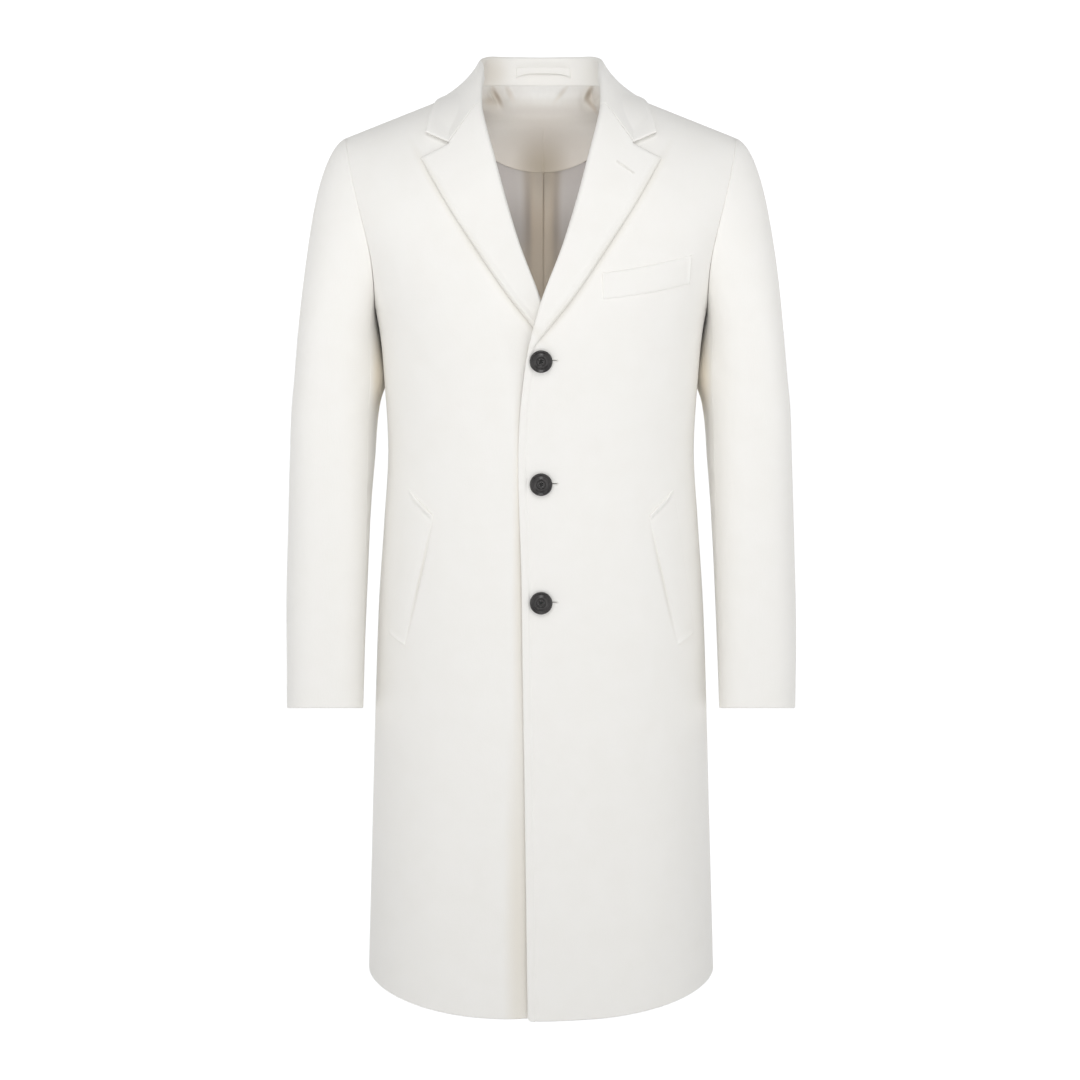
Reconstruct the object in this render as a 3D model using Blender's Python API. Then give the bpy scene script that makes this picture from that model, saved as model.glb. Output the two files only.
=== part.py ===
"""Long single-breasted overcoat in its worn shape, hollow, made from the pieces a tailor would cut.

Metres, +Z up, the front faces -Y. The origin is the middle of the neck base, level with the neck
ends of the shoulder seams. Left and right are the wearer's, so left is +X.
"""
import math

import bmesh
import bpy
import numpy as np

for item in list(bpy.data.objects):
    bpy.data.objects.remove(item, do_unlink=True)

LEFT = 1.0
RIGHT = -1.0

# Cloth and seams
WALL = 0.0024
DOUBLE_WALL = 0.0030
LINING_WALL = 0.0010
SEAM_GAP = 0.0003
LINING_GAP = 0.0014

# Shoulder line and the roundness of the shoulder
NECK_HALF_WIDTH = 0.0735
SHOULDER_SLOPE = 0.3955
SHOULDER_TIP_Z = -0.0588
SHOULDER_ROUND = 0.130
SHOULDER_POWER = 2.2
RING_POWER = 2.35

# Heights
UNDERARM_Z = -0.255
HEM_Z = -1.032
FRONT_HEM_DIP = 0.0187
LEFT_HEM_DROP = 0.0055
HEM_BLEND_Z = -0.76
CUFF_Z = -0.713
BICEP_Z = -0.300

# The right front goes under the left one
LAP_START_X = 0.075
LAP_END_X = 0.020
LAP_DEPTH_UPPER = 0.0074
LAP_DEPTH_LOWER = 0.0036
LAP_UPPER_Z = -0.36
LAP_LOWER_Z = -0.46

# Body sections: height, then these columns
HALF_WIDTH, FRONT_DEPTH, BACK_DEPTH = 1, 2, 3
BODY = (
    (-1.060, 0.2045, 0.1515, 0.1505),
    (-0.830, 0.1970, 0.1455, 0.1475),
    (-0.690, 0.1925, 0.1410, 0.1445),
    (-0.590, 0.1882, 0.1365, 0.1385),
    (-0.500, 0.1818, 0.1305, 0.1275),
    (-0.417, 0.1766, 0.1280, 0.1215),
    (-0.345, 0.1800, 0.1335, 0.1260),
    (-0.255, 0.1900, 0.1400, 0.1370),
    (-0.191, 0.2110, 0.1355, 0.1425),
    (-0.127, 0.2400, 0.1195, 0.1370),
    (-0.0615, 0.2550, 0.1055, 0.1265),
    (0.000, 0.2600, 0.1020, 0.1290),
)

# Front edge and, above the top button, the roll line of the lapel: height, then reach from the middle
REACH = 1
FRONT_EDGE = (
    (-1.060, -0.0154),
    (-0.800, -0.0187),
    (-0.570, -0.0219),
    (-0.340, -0.0216),
    (-0.2845, -0.0135),
    (-0.2377, -0.0009),
    (-0.1708, 0.0245),
    (-0.1228, 0.0394),
    (-0.0790, 0.0512),
    (-0.0226, 0.0655),
    (0.000, 0.0688),
)

# Armhole seam: height, then its half width on the front and on the back
FRONT_HALF, BACK_HALF = 1, 2
ARMHOLE = (
    (-0.2550, 0.1900, 0.1900),
    (-0.2230, 0.1896, 0.1880),
    (-0.1910, 0.1923, 0.1895),
    (-0.1610, 0.1985, 0.1940),
    (-0.1270, 0.2072, 0.2015),
    (-0.0930, 0.2153, 0.2110),
    (-0.0588, 0.2222, 0.2222),
)

# Sleeve sections: height, then these columns, the last one the fullness behind the underarm
CENTRE_X, CENTRE_Y, HALF_ACROSS, HALF_ALONG, PITCH, SHEAR, FULLNESS = range(1, 8)
SLEEVE = (
    (-0.300, 0.2330, 0.0060, 0.0455, 0.0760, 1.0, 0.10, 0.0050),
    (-0.335, 0.2346, 0.0056, 0.0471, 0.0746, 1.5, 0.11, 0.0125),
    (-0.362, 0.2362, 0.0048, 0.0480, 0.0734, 2.0, 0.12, 0.0055),
    (-0.430, 0.2412, 0.0000, 0.0475, 0.0695, 4.0, 0.06, 0.0000),
    (-0.520, 0.2460, -0.0105, 0.0468, 0.0640, 8.0, 0.00, 0.0000),
    (-0.620, 0.2490, -0.0270, 0.0456, 0.0580, 10.5, 0.00, 0.0000),
    (-0.713, 0.2500, -0.0450, 0.0436, 0.0520, 11.4, 0.00, 0.0000),
)
FULLNESS_TURN = 25.0
FULLNESS_POWER = 6
SLEEVE_POWER = 2.2
CAP_SHARE = 0.42
ARMHOLE_STEP = 20.0
FRONT_SEAM_TOP = 40.0
FRONT_SEAM_CUFF = 15.0
BACK_SEAM_TOP = 300.0
BACK_SEAM_CUFF = 288.0

# Lapel: share of the way from the break of the roll to the point, then its free edge
EDGE_X, EDGE_Z = 1, 2
LAPEL_BREAK_Z = -0.288
LAPEL_TOP_Z = -0.0237
LAPEL_EDGE = (
    (0.00, -0.0110, -0.2895),
    (0.12, 0.0050, -0.2690),
    (0.30, 0.0330, -0.2345),
    (0.55, 0.0740, -0.1755),
    (0.80, 0.1085, -0.1235),
    (1.00, 0.1343, -0.0795),
)
LAPEL_LIFT = 0.0007
ROLL_LIFT = 0.0040
NOTCH_SHARE = 0.57
NOTCH_DROP = 0.0040

# Collar: share of the way from the middle of the back to the gorge, then x, y and z of the fold line
FOLD = (
    (0.00, 0.0000, 0.0690, 0.0335),
    (0.25, 0.0380, 0.0600, 0.0332),
    (0.50, 0.0635, 0.0330, 0.0305),
    (0.70, 0.0700, 0.0020, 0.0240),
    (0.85, 0.0695, -0.0300, 0.0080),
    (1.00, 0.0668, -0.0700, -0.0237),
)
# The same share, then x and y of the leaf's edge, which rests on the shoulders
LEAF = (
    (0.00, 0.0000, 0.0930),
    (0.25, 0.0450, 0.0855),
    (0.50, 0.0860, 0.0590),
    (0.70, 0.1062, 0.0200),
    (0.85, 0.1165, -0.0240),
    (1.00, 0.1315, -0.0640),
)
LEAF_LIFT = 0.0016
LEAF_SOFT = 0.0009
COLLAR_HOLLOW = 0.0090
COLLAR_TIP = (0.1315, -0.0514)
GORGE_BLEND = 0.72
STAND_END = 0.92
RIDGE_SHARE = 0.70

# Yoke facing and lining inside the back
YOKE_RADIUS = 0.1055
YOKE_CENTRE_Z = 0.004
YOKE_TOP_TURN = 4.0
YOKE_LOW_TURN = 86.0
LINING_HEM_LIFT = 0.030
LINING_SEAM_X = 0.0030

# Welts: four corners as reach and height, from the upper inner one round by the upper outer one
BREAST_WELT = ((0.0670, -0.2034), (0.1690, -0.1856), (0.1672, -0.2192), (0.0682, -0.2337))
POCKET_WELT = ((0.1212, -0.4785), (0.1507, -0.4511), (0.1764, -0.6214), (0.1557, -0.6316))
WELT_WALL = 0.0020

# Buttons
BUTTON_HEIGHTS = (("button_top", -0.3013), ("button_middle", -0.4407), ("button_bottom", -0.5741))
BUTTON_PROFILE = ((0.0062, 0.0022), (0.0084, 0.0031), (0.0105, 0.0040), (0.0122, 0.0034), (0.01275, 0.0022),
                  (0.0118, 0.0008), (0.0090, 0.0000))
BUTTON_STEPS = 24
BUTTON_LIFT = 0.0007
THREAD_HOLE_RADIUS = 0.0011
THREAD_HOLE_REACH = 0.0024

# Hanger loop on the stand: ends as reach, heights as shares of the stand
LOOP_ENDS = (-0.0284, 0.0342)
LOOP_LOW = 0.40
LOOP_HIGH = 0.64
LOOP_DROOP = 0.14
LOOP_WALL = 0.0012

# Colour, roughness
WOOL = ((0.884, 0.875, 0.842), 0.92)
LINING = ((0.600, 0.550, 0.490), 0.45)
HORN = ((0.030, 0.028, 0.028), 0.35)


def column(table, index, at):
    """One column of a table as a smooth curve of its first column."""
    rows = np.asarray(table, float)
    rows = rows[np.argsort(rows[:, 0])]
    x = rows[:, 0]
    y = rows[:, index]
    step = np.diff(x)
    rise = np.diff(y) / step
    slope = np.zeros_like(y)
    slope[0] = rise[0]
    slope[-1] = rise[-1]
    weight = step[1:] / (step[1:] + step[:-1])
    slope[1:-1] = rise[:-1] * weight + rise[1:] * (1 - weight)
    at = np.clip(np.asarray(at, float), x[0], x[-1])
    i = np.clip(np.searchsorted(x, at) - 1, 0, len(x) - 2)
    t = (at - x[i]) / step[i]
    return ((1 + 2 * t) * (1 - t) ** 2 * y[i] + t * (1 - t) ** 2 * step[i] * slope[i]
            + t * t * (3 - 2 * t) * y[i + 1] + t * t * (t - 1) * step[i] * slope[i + 1])


def ease(low, high, at):
    """Smooth step from 0 at low to 1 at high."""
    t = np.clip((np.asarray(at, float) - low) / (high - low), 0, 1)
    return t * t * (3 - 2 * t)


def unit(vectors):
    return vectors / np.linalg.norm(vectors, axis=-1, keepdims=True)


def stack(x, y, z):
    return np.stack(np.broadcast_arrays(x, y, z), axis=-1)


def mix(a, b, share):
    return a + (b - a) * share


def ridge_z(x):
    """Height of the shoulder seam at a reach from the middle, rounded over inside the neck."""
    reach = np.abs(x)
    inside = (reach ** 2 + NECK_HALF_WIDTH ** 2) / (2 * NECK_HALF_WIDTH)
    return -SHOULDER_SLOPE * (np.where(reach < NECK_HALF_WIDTH, inside, reach) - NECK_HALF_WIDTH)


def ridge_x(z):
    return NECK_HALF_WIDTH - z / SHOULDER_SLOPE


def depth(x, z, index):
    """Depth of the body from the side seams: a rounded section that closes over the shoulder."""
    across = np.clip(np.abs(x) / column(BODY, HALF_WIDTH, z), 0, 1)
    section = (1 - across ** RING_POWER) ** (1 / RING_POWER)
    below = np.clip((ridge_z(x) - z) / SHOULDER_ROUND, 0, 1)
    shoulder = (1 - (1 - below) ** SHOULDER_POWER) ** (1 / SHOULDER_POWER)
    return column(BODY, index, z) * section * shoulder


def lap(x, z):
    """How far the right front sinks to go under the left one."""
    deep = mix(LAP_DEPTH_LOWER, LAP_DEPTH_UPPER, ease(LAP_LOWER_Z, LAP_UPPER_Z, z))
    return deep * (1 - ease(LAP_END_X, LAP_START_X, x))


def front_point(x, z, side):
    """A point of the front surface at a reach towards its own side and a height."""
    y = -depth(x, z, FRONT_DEPTH) - SEAM_GAP / 2
    if side == RIGHT:
        y = y + lap(x, z)
    return stack(x, y, z)


def back_point(x, z):
    return stack(x, depth(x, z, BACK_DEPTH) + SEAM_GAP / 2, z)


def side_x(z, index):
    """Where a body row starts: side seam, armhole or shoulder seam."""
    hole = column(ARMHOLE, index, z)
    body = np.where(z < UNDERARM_Z, column(BODY, HALF_WIDTH, z), hole)
    return np.where(z > SHOULDER_TIP_Z, ridge_x(z), body)


def hem_row(share, z, side):
    """Row height with the hem's dip towards the middle."""
    dip = FRONT_HEM_DIP * ease(0.0, 0.6, share)
    if side == LEFT:
        dip = dip + LEFT_HEM_DROP * ease(0.55, 1.0, share)
    return z - dip * ease(HEM_BLEND_Z, HEM_Z, z)


def front_surface(side):
    """Front panel: share from the side (0) to the front edge (1), and row height."""

    def surface(share, z):
        z = hem_row(share, z, side)
        start = side_x(z, FRONT_HALF)
        turn = np.arccos(np.clip(column(FRONT_EDGE, REACH, z) / start, -1, 1))
        return front_point(start * np.cos(share * turn), z, side)

    return surface


def back_surface(edge):
    """Back panel: share from the side (0) to its inner edge (1), and row height."""

    def surface(share, z):
        start = side_x(z, BACK_HALF)
        turn = np.arccos(np.clip(edge(z) / start, -1, 1))
        return back_point(start * np.cos(share * turn), z)

    return surface


def seam_edge(z):
    return np.full_like(z, SEAM_GAP / 2)


def lining_edge(side):
    """Inner edge of the lining: the curve under the yoke, then a seam just beside the centre back."""

    def edge(z):
        square = YOKE_RADIUS ** 2 - (z - YOKE_CENTRE_Z) ** 2
        return np.where(square > 0, np.sqrt(np.maximum(square, 0)), side * LINING_SEAM_X) + SEAM_GAP

    return edge


def armhole_point(angle):
    """Armhole seam: 0 under the arm, a half turn at the shoulder tip, the front first."""
    middle = (UNDERARM_Z + SHOULDER_TIP_Z) / 2
    half = (SHOULDER_TIP_Z - UNDERARM_Z) / 2
    z = middle - half * np.cos(angle)
    front = np.sin(angle) >= 0
    x = np.where(front, side_x(z, FRONT_HALF), side_x(z, BACK_HALF))
    y = np.where(front, -depth(x, z, FRONT_DEPTH), depth(x, z, BACK_DEPTH))
    return stack(x, y, z)


def sleeve_ring(angle, z):
    """Sleeve section: 0 at the body, a quarter at the front, a half outside."""
    power = 2 / SLEEVE_POWER
    across = -np.sign(np.cos(angle)) * np.abs(np.cos(angle)) ** power * column(SLEEVE, HALF_ACROSS, z)
    along = -np.sign(np.sin(angle)) * np.abs(np.sin(angle)) ** power * column(SLEEVE, HALF_ALONG, z)
    behind = np.clip(np.cos(angle + math.radians(FULLNESS_TURN)), 0, 1) ** FULLNESS_POWER
    pitch = np.radians(column(SLEEVE, PITCH, z))
    x = column(SLEEVE, CENTRE_X, z) + across - column(SLEEVE, SHEAR, z) * along
    x = x - column(SLEEVE, FULLNESS, z) * behind
    y = column(SLEEVE, CENTRE_Y, z) + along * np.cos(pitch)
    return stack(x, y, z - along * np.sin(pitch))


def sleeve_point(angle, share):
    """Sleeve surface from the armhole (0) over the cap and down to the cuff (1)."""
    angle, share = np.broadcast_arrays(np.asarray(angle, float), np.asarray(share, float))
    start = armhole_point(angle)
    end = sleeve_ring(angle, np.full(angle.shape, BICEP_Z))
    way = np.linalg.norm(end - start, axis=-1, keepdims=True)
    out = unit(stack(0.5 - 0.4 * np.cos(angle), -0.25 * np.sin(angle), -0.715 - 0.285 * np.cos(angle)))
    down = unit(sleeve_ring(angle, np.full(angle.shape, BICEP_Z - 0.004)) - end)
    t = np.clip(share / CAP_SHARE, 0, 1)[..., None]
    near = start + out * way * 0.165
    far = end - down * way * 0.50
    cap = (1 - t) ** 3 * start + 3 * t * (1 - t) ** 2 * near + 3 * t * t * (1 - t) * far + t ** 3 * end
    z = mix(BICEP_Z, CUFF_Z, np.clip((share - CAP_SHARE) / (1 - CAP_SHARE), 0, 1))
    return np.where((share < CAP_SHARE)[..., None], cap, sleeve_ring(angle, z))


def sleeve_surface(top):
    """One sleeve piece between its front and back seams: share round, share down."""

    def surface(across, share):
        trim = SEAM_GAP / 0.10
        front = np.radians(mix(FRONT_SEAM_TOP, FRONT_SEAM_CUFF, share))
        back = np.radians(mix(BACK_SEAM_TOP, BACK_SEAM_CUFF, share))
        if top:
            return sleeve_point(mix(front + trim, back - trim, across), share)
        return sleeve_point(mix(back + trim - 2 * math.pi, front - trim, across), share)

    return surface


def lapel_place(across, share):
    """Reach and height on a lapel: from the roll line (0) to the free edge (1), break to top."""
    roll_z = mix(LAPEL_BREAK_Z, LAPEL_TOP_Z, share)
    roll_x = column(FRONT_EDGE, REACH, roll_z) + SEAM_GAP
    x = mix(roll_x, column(LAPEL_EDGE, EDGE_X, share), across)
    z = mix(roll_z, column(LAPEL_EDGE, EDGE_Z, share), across)
    bend = np.minimum(across / NOTCH_SHARE, (1 - across) / (1 - NOTCH_SHARE))
    return x, z - NOTCH_DROP * bend * ease(0.8, 1.0, share)


def lapel_lift(across, share):
    return LAPEL_LIFT + ROLL_LIFT * (1 - across) ** 2 * ease(0.30, 0.65, share)


def front_normal(x, z, side):
    step = 0.0005
    dx = front_point(x + step, z, side) - front_point(x - step, z, side)
    dz = front_point(x, z + step, side) - front_point(x, z - step, side)
    return unit(np.cross(dx, dz))


def lapel_surface(side, rise):
    """A face of a lapel, lifted off its own front."""

    def surface(across, share):
        x, z = lapel_place(across, share)
        lift = (lapel_lift(across, share) + rise)[..., None]
        return front_point(x, z, side) + front_normal(x, z, side) * lift

    return surface


def body_height(x, y):
    """Height of the shoulders or chest at a place in plan."""
    x, y = np.broadcast_arrays(np.asarray(x, float), np.asarray(y, float))
    low = np.full(x.shape, -0.25)
    high = ridge_z(x)
    for _ in range(40):
        middle = (low + high) / 2
        reach = np.where(y < 0, depth(x, middle, FRONT_DEPTH), depth(x, middle, BACK_DEPTH))
        inside = reach > np.abs(y)
        low = np.where(inside, middle, low)
        high = np.where(inside, high, middle)
    return low


def both_ways(table, signs):
    """A half table continued through the middle, each column mirrored with its sign."""
    rows = [tuple(row) for row in table]
    other = [tuple(value * sign for value, sign in zip(row, signs)) for row in table[1:]]
    return other[::-1] + rows


def fold_point(way):
    table = both_ways(FOLD, (-1, -1, 1, 1))
    return stack(*(column(table, i, way) for i in (1, 2, 3)))


def gorge_line(across, rise):
    """End of the collar on the left: along the gorge to the notch, then out to the collar's point."""
    inner_x, inner_z = lapel_place(np.minimum(across, NOTCH_SHARE), np.ones_like(across))
    beyond = np.clip((across - NOTCH_SHARE) / (1 - NOTCH_SHARE), 0, 1)
    x = mix(inner_x, COLLAR_TIP[0], beyond)
    z = mix(inner_z, COLLAR_TIP[1], beyond) + SEAM_GAP * 2
    lift = (lapel_lift(np.minimum(across, NOTCH_SHARE), np.ones_like(across)) + rise)[..., None]
    return front_point(x, z, LEFT) + front_normal(x, z, LEFT) * lift


def leaf_line(across, way):
    """Collar leaf before its ends are set on the gorge: a hollow curve from fold to edge."""
    table = both_ways(LEAF, (-1, -1, 1))
    x = column(table, 1, way)
    y = column(table, 2, way)
    edge = stack(x, y, body_height(x, y) + LEAF_LIFT)
    fold = fold_point(way)
    sink = unit(stack(-x, -y, np.full_like(x, -0.05)))
    middle = (fold + edge) / 2 + sink * COLLAR_HOLLOW
    t = across[..., None]
    return (1 - t) ** 2 * fold + 2 * t * (1 - t) * middle + t * t * edge


def leaf_surface(across, way):
    """Inner face of the collar leaf, share from fold (0) to edge (1), way from right (-1) to left (1)."""
    flip = stack(np.where(way < 0, -1.0, 1.0), 1.0, 1.0)
    hold = ease(GORGE_BLEND, 1.0, np.abs(way))[..., None]
    end = gorge_line(across, 0.0) * flip
    loose = leaf_line(across, way)
    loose_end = leaf_line(across, np.where(way < 0, -1.0, 1.0))
    point = loose + (end - loose_end) * hold
    ground = body_height(point[..., 0], point[..., 1])
    rise = point[..., 2] - ground
    clear = (rise + LEAF_LIFT + np.hypot(rise - LEAF_LIFT, LEAF_SOFT)) / 2
    return stack(point[..., 0], point[..., 1], ground + clear)


def neck_point(way):
    """Neck seam, from the middle of the back round the side and down the roll line."""
    share = np.abs(way)
    turn = np.clip(share / RIDGE_SHARE, 0, 1) * math.pi / 2
    back_x = NECK_HALF_WIDTH * np.sin(turn)
    zero = np.zeros_like(share)
    back = back_point(back_x, zero)
    ahead = np.clip((share - RIDGE_SHARE) / (1 - RIDGE_SHARE), 0, 1)
    front_z = mix(0.0, LAPEL_TOP_Z, ease(0.15, 1.0, ahead))
    edge = column(FRONT_EDGE, REACH, front_z)
    front_x = mix(NECK_HALF_WIDTH, edge, ease(0.0, 0.4, ahead)) - SEAM_GAP * 3 * ease(0.0, 0.3, ahead)
    front = front_point(np.minimum(front_x, ridge_x(front_z)), front_z, LEFT)
    point = np.where((share < RIDGE_SHARE)[..., None], back, front)
    return point * stack(np.where(way < 0, -1.0, 1.0), 1.0, 1.0)


def stand_surface(up, way):
    """Outer face of the collar stand, from the neck seam (0) to just inside the fold (1)."""
    rise = SEAM_GAP * (2 + 4 * ease(RIDGE_SHARE - 0.05, RIDGE_SHARE + 0.05, np.abs(way)))
    low = neck_point(way) + stack(0.0, 0.0, rise)
    high = fold_point(way)
    inward = unit(stack(-high[..., 0], -high[..., 1], np.zeros_like(way)))
    return mix(low, high + inward * SEAM_GAP * 2, up[..., None])


def yoke_surface(across, turn):
    """Half-moon facing: share from the right shoulder (0) to the left (1), angle down its curve."""
    z = YOKE_CENTRE_Z - YOKE_RADIUS * np.sin(turn)
    limit = np.minimum(YOKE_RADIUS * np.cos(turn), ridge_x(z) - SEAM_GAP)
    return back_point(-limit * np.cos(across * math.pi), z)


def normals(surface, across, along):
    """Unit normals by small steps on a surface."""
    step = 1e-4
    a_low = np.maximum(across - step, across.min())
    a_high = np.minimum(across + step, across.max())
    b_low = np.maximum(along - step, along.min())
    b_high = np.minimum(along + step, along.max())
    return unit(np.cross(surface(a_high, along) - surface(a_low, along),
                         surface(across, b_high) - surface(across, b_low)))


def sheet(surface, across, along, outside):
    """Grid of points and normals, the normals turned the way of a given direction."""
    a, b = np.meshgrid(np.asarray(across, float), np.asarray(along, float), indexing="ij")
    points = surface(a, b)
    out = normals(surface, a, b)
    middle = (len(across) // 2, len(along) // 2)
    if np.dot(out[middle], outside) < 0:
        out = -out
    return points, out


def material(name, look):
    shade = bpy.data.materials.new(name)
    shade.use_nodes = True
    node = shade.node_tree.nodes["Principled BSDF"]
    node.inputs["Base Color"].default_value = (*look[0], 1.0)
    node.inputs["Roughness"].default_value = look[1]
    node.inputs["Metallic"].default_value = 0.0
    return shade


def place(name, mesh, look):
    """A named object with its own material, in the coat's collection."""
    body = bpy.data.objects.new(name, mesh)
    mesh.materials.append(material(name, look))
    coat.objects.link(body)
    return body


def wall(name, outer, inner, look, side=LEFT):
    """A closed cloth wall: a flat grid extruded to two layers, then set on its outer and inner points."""
    flip = np.array([side, 1.0, 1.0])
    columns, rows = outer.shape[:2]
    mesh = bpy.data.meshes.new(name)
    bm = bmesh.new()
    bmesh.ops.create_grid(bm, x_segments=columns - 1, y_segments=rows - 1, size=1.0)
    twin = bmesh.ops.extrude_face_region(bm, geom=bm.faces[:], use_keep_orig=True)
    raised = [item for item in twin["geom"] if isinstance(item, bmesh.types.BMVert)]
    bmesh.ops.translate(bm, verts=raised, vec=(0.0, 0.0, 1.0))
    for vert in bm.verts:
        i = round((vert.co.x + 1) / 2 * (columns - 1))
        j = round((vert.co.y + 1) / 2 * (rows - 1))
        layer = inner if vert.co.z > 0.5 else outer
        vert.co = layer[i, j] * flip
    bmesh.ops.recalc_face_normals(bm, faces=bm.faces[:])
    if bm.calc_volume(signed=True) < 0:
        bmesh.ops.reverse_faces(bm, faces=bm.faces[:])
    bm.to_mesh(mesh)
    bm.free()
    return place(name, mesh, look)


def thick(name, surface, across, along, outside, look, side=LEFT, near=0.0, far=WALL):
    """A cloth wall between two distances inside a surface."""
    points, out = sheet(surface, across, along, outside)
    return wall(name, points - out * near, points - out * far, look, side)


def armhole_edge(angle, step, own):
    """Outer and inner edge of a wall at the armhole, a step towards the sleeve from the seam.

    Over the shoulder both walls share one facing, so they meet square. Lower down each keeps its own.
    """
    point = armhole_point(angle)
    facing = unit(stack(0.25 - 0.25 * np.cos(angle), -np.sin(angle), -np.cos(angle)))
    along = unit(armhole_point(angle + 1e-3) - armhole_point(angle - 1e-3))
    across = unit(np.cross(along, facing))
    across = across * np.where(across[..., :1] < 0, -1.0, 1.0)
    outer = point + across * step
    turned = unit(mix(facing, own, ease(-0.5, 0.3, np.cos(angle))[..., None]))
    return outer, outer - turned * WALL


def body_panel(name, surface, share, rows, outside, side, ahead):
    """A front or back, its side edge turned into the armhole."""
    points, out = sheet(surface, share, rows, outside)
    inner = points - out * WALL
    rows = np.asarray(rows)
    hole = (rows >= UNDERARM_Z) & (rows <= SHOULDER_TIP_Z)
    middle = (UNDERARM_Z + SHOULDER_TIP_Z) / 2
    half = (SHOULDER_TIP_Z - UNDERARM_Z) / 2
    angle = np.arccos(np.clip((middle - rows[hole]) / half, -1, 1))
    turn = angle if ahead else 2 * math.pi - angle
    outer_edge, inner_edge = armhole_edge(turn, -SEAM_GAP / 2, out[0, hole])
    shift = np.array([0, -SEAM_GAP / 2 if ahead else SEAM_GAP / 2, 0])
    points[0, hole] = outer_edge + shift
    inner[0, hole] = inner_edge + shift
    return wall(name, points, inner, WOOL, side)


def sleeve_piece(name, top, rows, side):
    """Top or under sleeve, its upper edge turned into the armhole."""
    surface = sleeve_surface(top)
    turn = BACK_SEAM_TOP - FRONT_SEAM_TOP
    across = np.linspace(0, 1, round((turn if top else 360 - turn) / ARMHOLE_STEP) + 1)
    points, out = sheet(surface, across, rows, np.array([1.0 if top else -1.0, 0, 0]))
    inner = points - out * WALL
    trim = SEAM_GAP / 0.10
    front = math.radians(FRONT_SEAM_TOP)
    back = math.radians(BACK_SEAM_TOP)
    if top:
        angle = mix(front + trim, back - trim, across)
    else:
        angle = mix(back + trim - 2 * math.pi, front - trim, across)
    points[:, 0], inner[:, 0] = armhole_edge(angle, SEAM_GAP / 2, out[:, 0])
    return wall(name, points, inner, WOOL, side)


def welt(name, corners, columns, rows, side):
    """A pocket welt laid on a front."""
    (ax, az), (bx, bz), (cx, cz), (dx, dz) = corners

    def surface(across, down):
        x = mix(mix(ax, bx, across), mix(dx, cx, across), down)
        z = mix(mix(az, bz, across), mix(dz, cz, across), down)
        return front_point(x, z, side)

    across = np.linspace(0, 1, columns + 1)
    down = np.linspace(0, 1, rows + 1)
    return thick(name, surface, across, down, np.array([0, -1.0, 0]), WOOL, side,
                 near=-SEAM_GAP - WELT_WALL, far=-SEAM_GAP)


def button(name, z):
    """A turned button with four thread holes, seated on the left front."""
    mesh = bpy.data.meshes.new(name)
    bm = bmesh.new()
    ring = [bm.verts.new((radius, 0.0, height)) for radius, height in BUTTON_PROFILE]
    edges = [bm.edges.new(pair) for pair in zip(ring, ring[1:])]
    bmesh.ops.spin(bm, geom=ring + edges, cent=(0, 0, 0), axis=(0, 0, 1), angle=2 * math.pi,
                   steps=BUTTON_STEPS, use_merge=True)
    bmesh.ops.remove_doubles(bm, verts=bm.verts[:], dist=0.00001)
    bmesh.ops.holes_fill(bm, edges=bm.edges[:], sides=BUTTON_STEPS)
    bmesh.ops.recalc_face_normals(bm, faces=bm.faces[:])
    bm.to_mesh(mesh)
    bm.free()
    body = place(name, mesh, HORN)
    point = front_point(np.array(0.0), np.array(z), LEFT)
    out = front_normal(np.array(0.0), np.array(z), LEFT)
    tilt = math.atan2(out[2], -out[1])
    body.rotation_euler = (math.pi / 2 - tilt, 0.0, 0.0)
    body.location = point + out * BUTTON_LIFT
    for i in range(4):
        turn = math.pi / 4 + i * math.pi / 2
        reach = THREAD_HOLE_REACH
        cut = bpy.data.meshes.new(f"{name}_hole_{i}")
        bm = bmesh.new()
        bmesh.ops.create_cone(bm, cap_ends=True, segments=8, radius1=THREAD_HOLE_RADIUS,
                              radius2=THREAD_HOLE_RADIUS, depth=0.02)
        bmesh.ops.translate(bm, verts=bm.verts[:], vec=(reach * math.cos(turn), reach * math.sin(turn), 0.0))
        bm.to_mesh(cut)
        bm.free()
        drill = bpy.data.objects.new(f"{name}_hole_{i}", cut)
        cutters.objects.link(drill)
        drill.hide_render = True
        drill.display_type = "WIRE"
        drill.rotation_euler = body.rotation_euler
        drill.location = body.location
        hole = body.modifiers.new(f"hole_{i}", "BOOLEAN")
        hole.operation = "DIFFERENCE"
        hole.solver = "EXACT"
        hole.object = drill
    return body


def loop_surface(along, up):
    """Hanger loop on the stand: flat in the middle, its ends drooping."""
    x = mix(LOOP_ENDS[0], LOOP_ENDS[1], along)
    droop = LOOP_DROOP * np.abs(2 * along - 1) ** 4
    low = LOOP_LOW - droop
    way = x / 0.038 * 0.25
    return stand_surface(mix(low, LOOP_HIGH - 0.3 * droop, up), way)


coat = bpy.data.collections.new("long_overcoat")
cutters = bpy.data.collections.new("cutters")
bpy.context.scene.collection.children.link(coat)
bpy.context.scene.collection.children.link(cutters)

AHEAD = np.array([0, -1.0, 0])
BEHIND = np.array([0, 1.0, 0])

FRONT_SHARES = np.linspace(0, 1, 13)
ARMHOLE_ANGLES = np.radians(np.arange(0.0, 181.0, ARMHOLE_STEP))
ARMHOLE_ROWS = armhole_point(ARMHOLE_ANGLES)[:, 2]
SHOULDER_ROWS = np.linspace(SHOULDER_TIP_Z, 0.0, 7)[1:]
SKIRT_ROWS = np.linspace(HEM_Z, -0.55, 7)
FRONT_ROWS = np.concatenate([SKIRT_ROWS, np.linspace(-0.49, -0.28, 6), ARMHOLE_ROWS, SHOULDER_ROWS])
BACK_SHARES = np.linspace(0, 1, 11)
BACK_ROWS = np.concatenate([SKIRT_ROWS, np.linspace(-0.48, -0.29, 4), ARMHOLE_ROWS, SHOULDER_ROWS])
SLEEVE_ROWS = np.concatenate([np.linspace(0, CAP_SHARE, 7), np.linspace(CAP_SHARE, 1, 7)[1:]])
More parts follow.
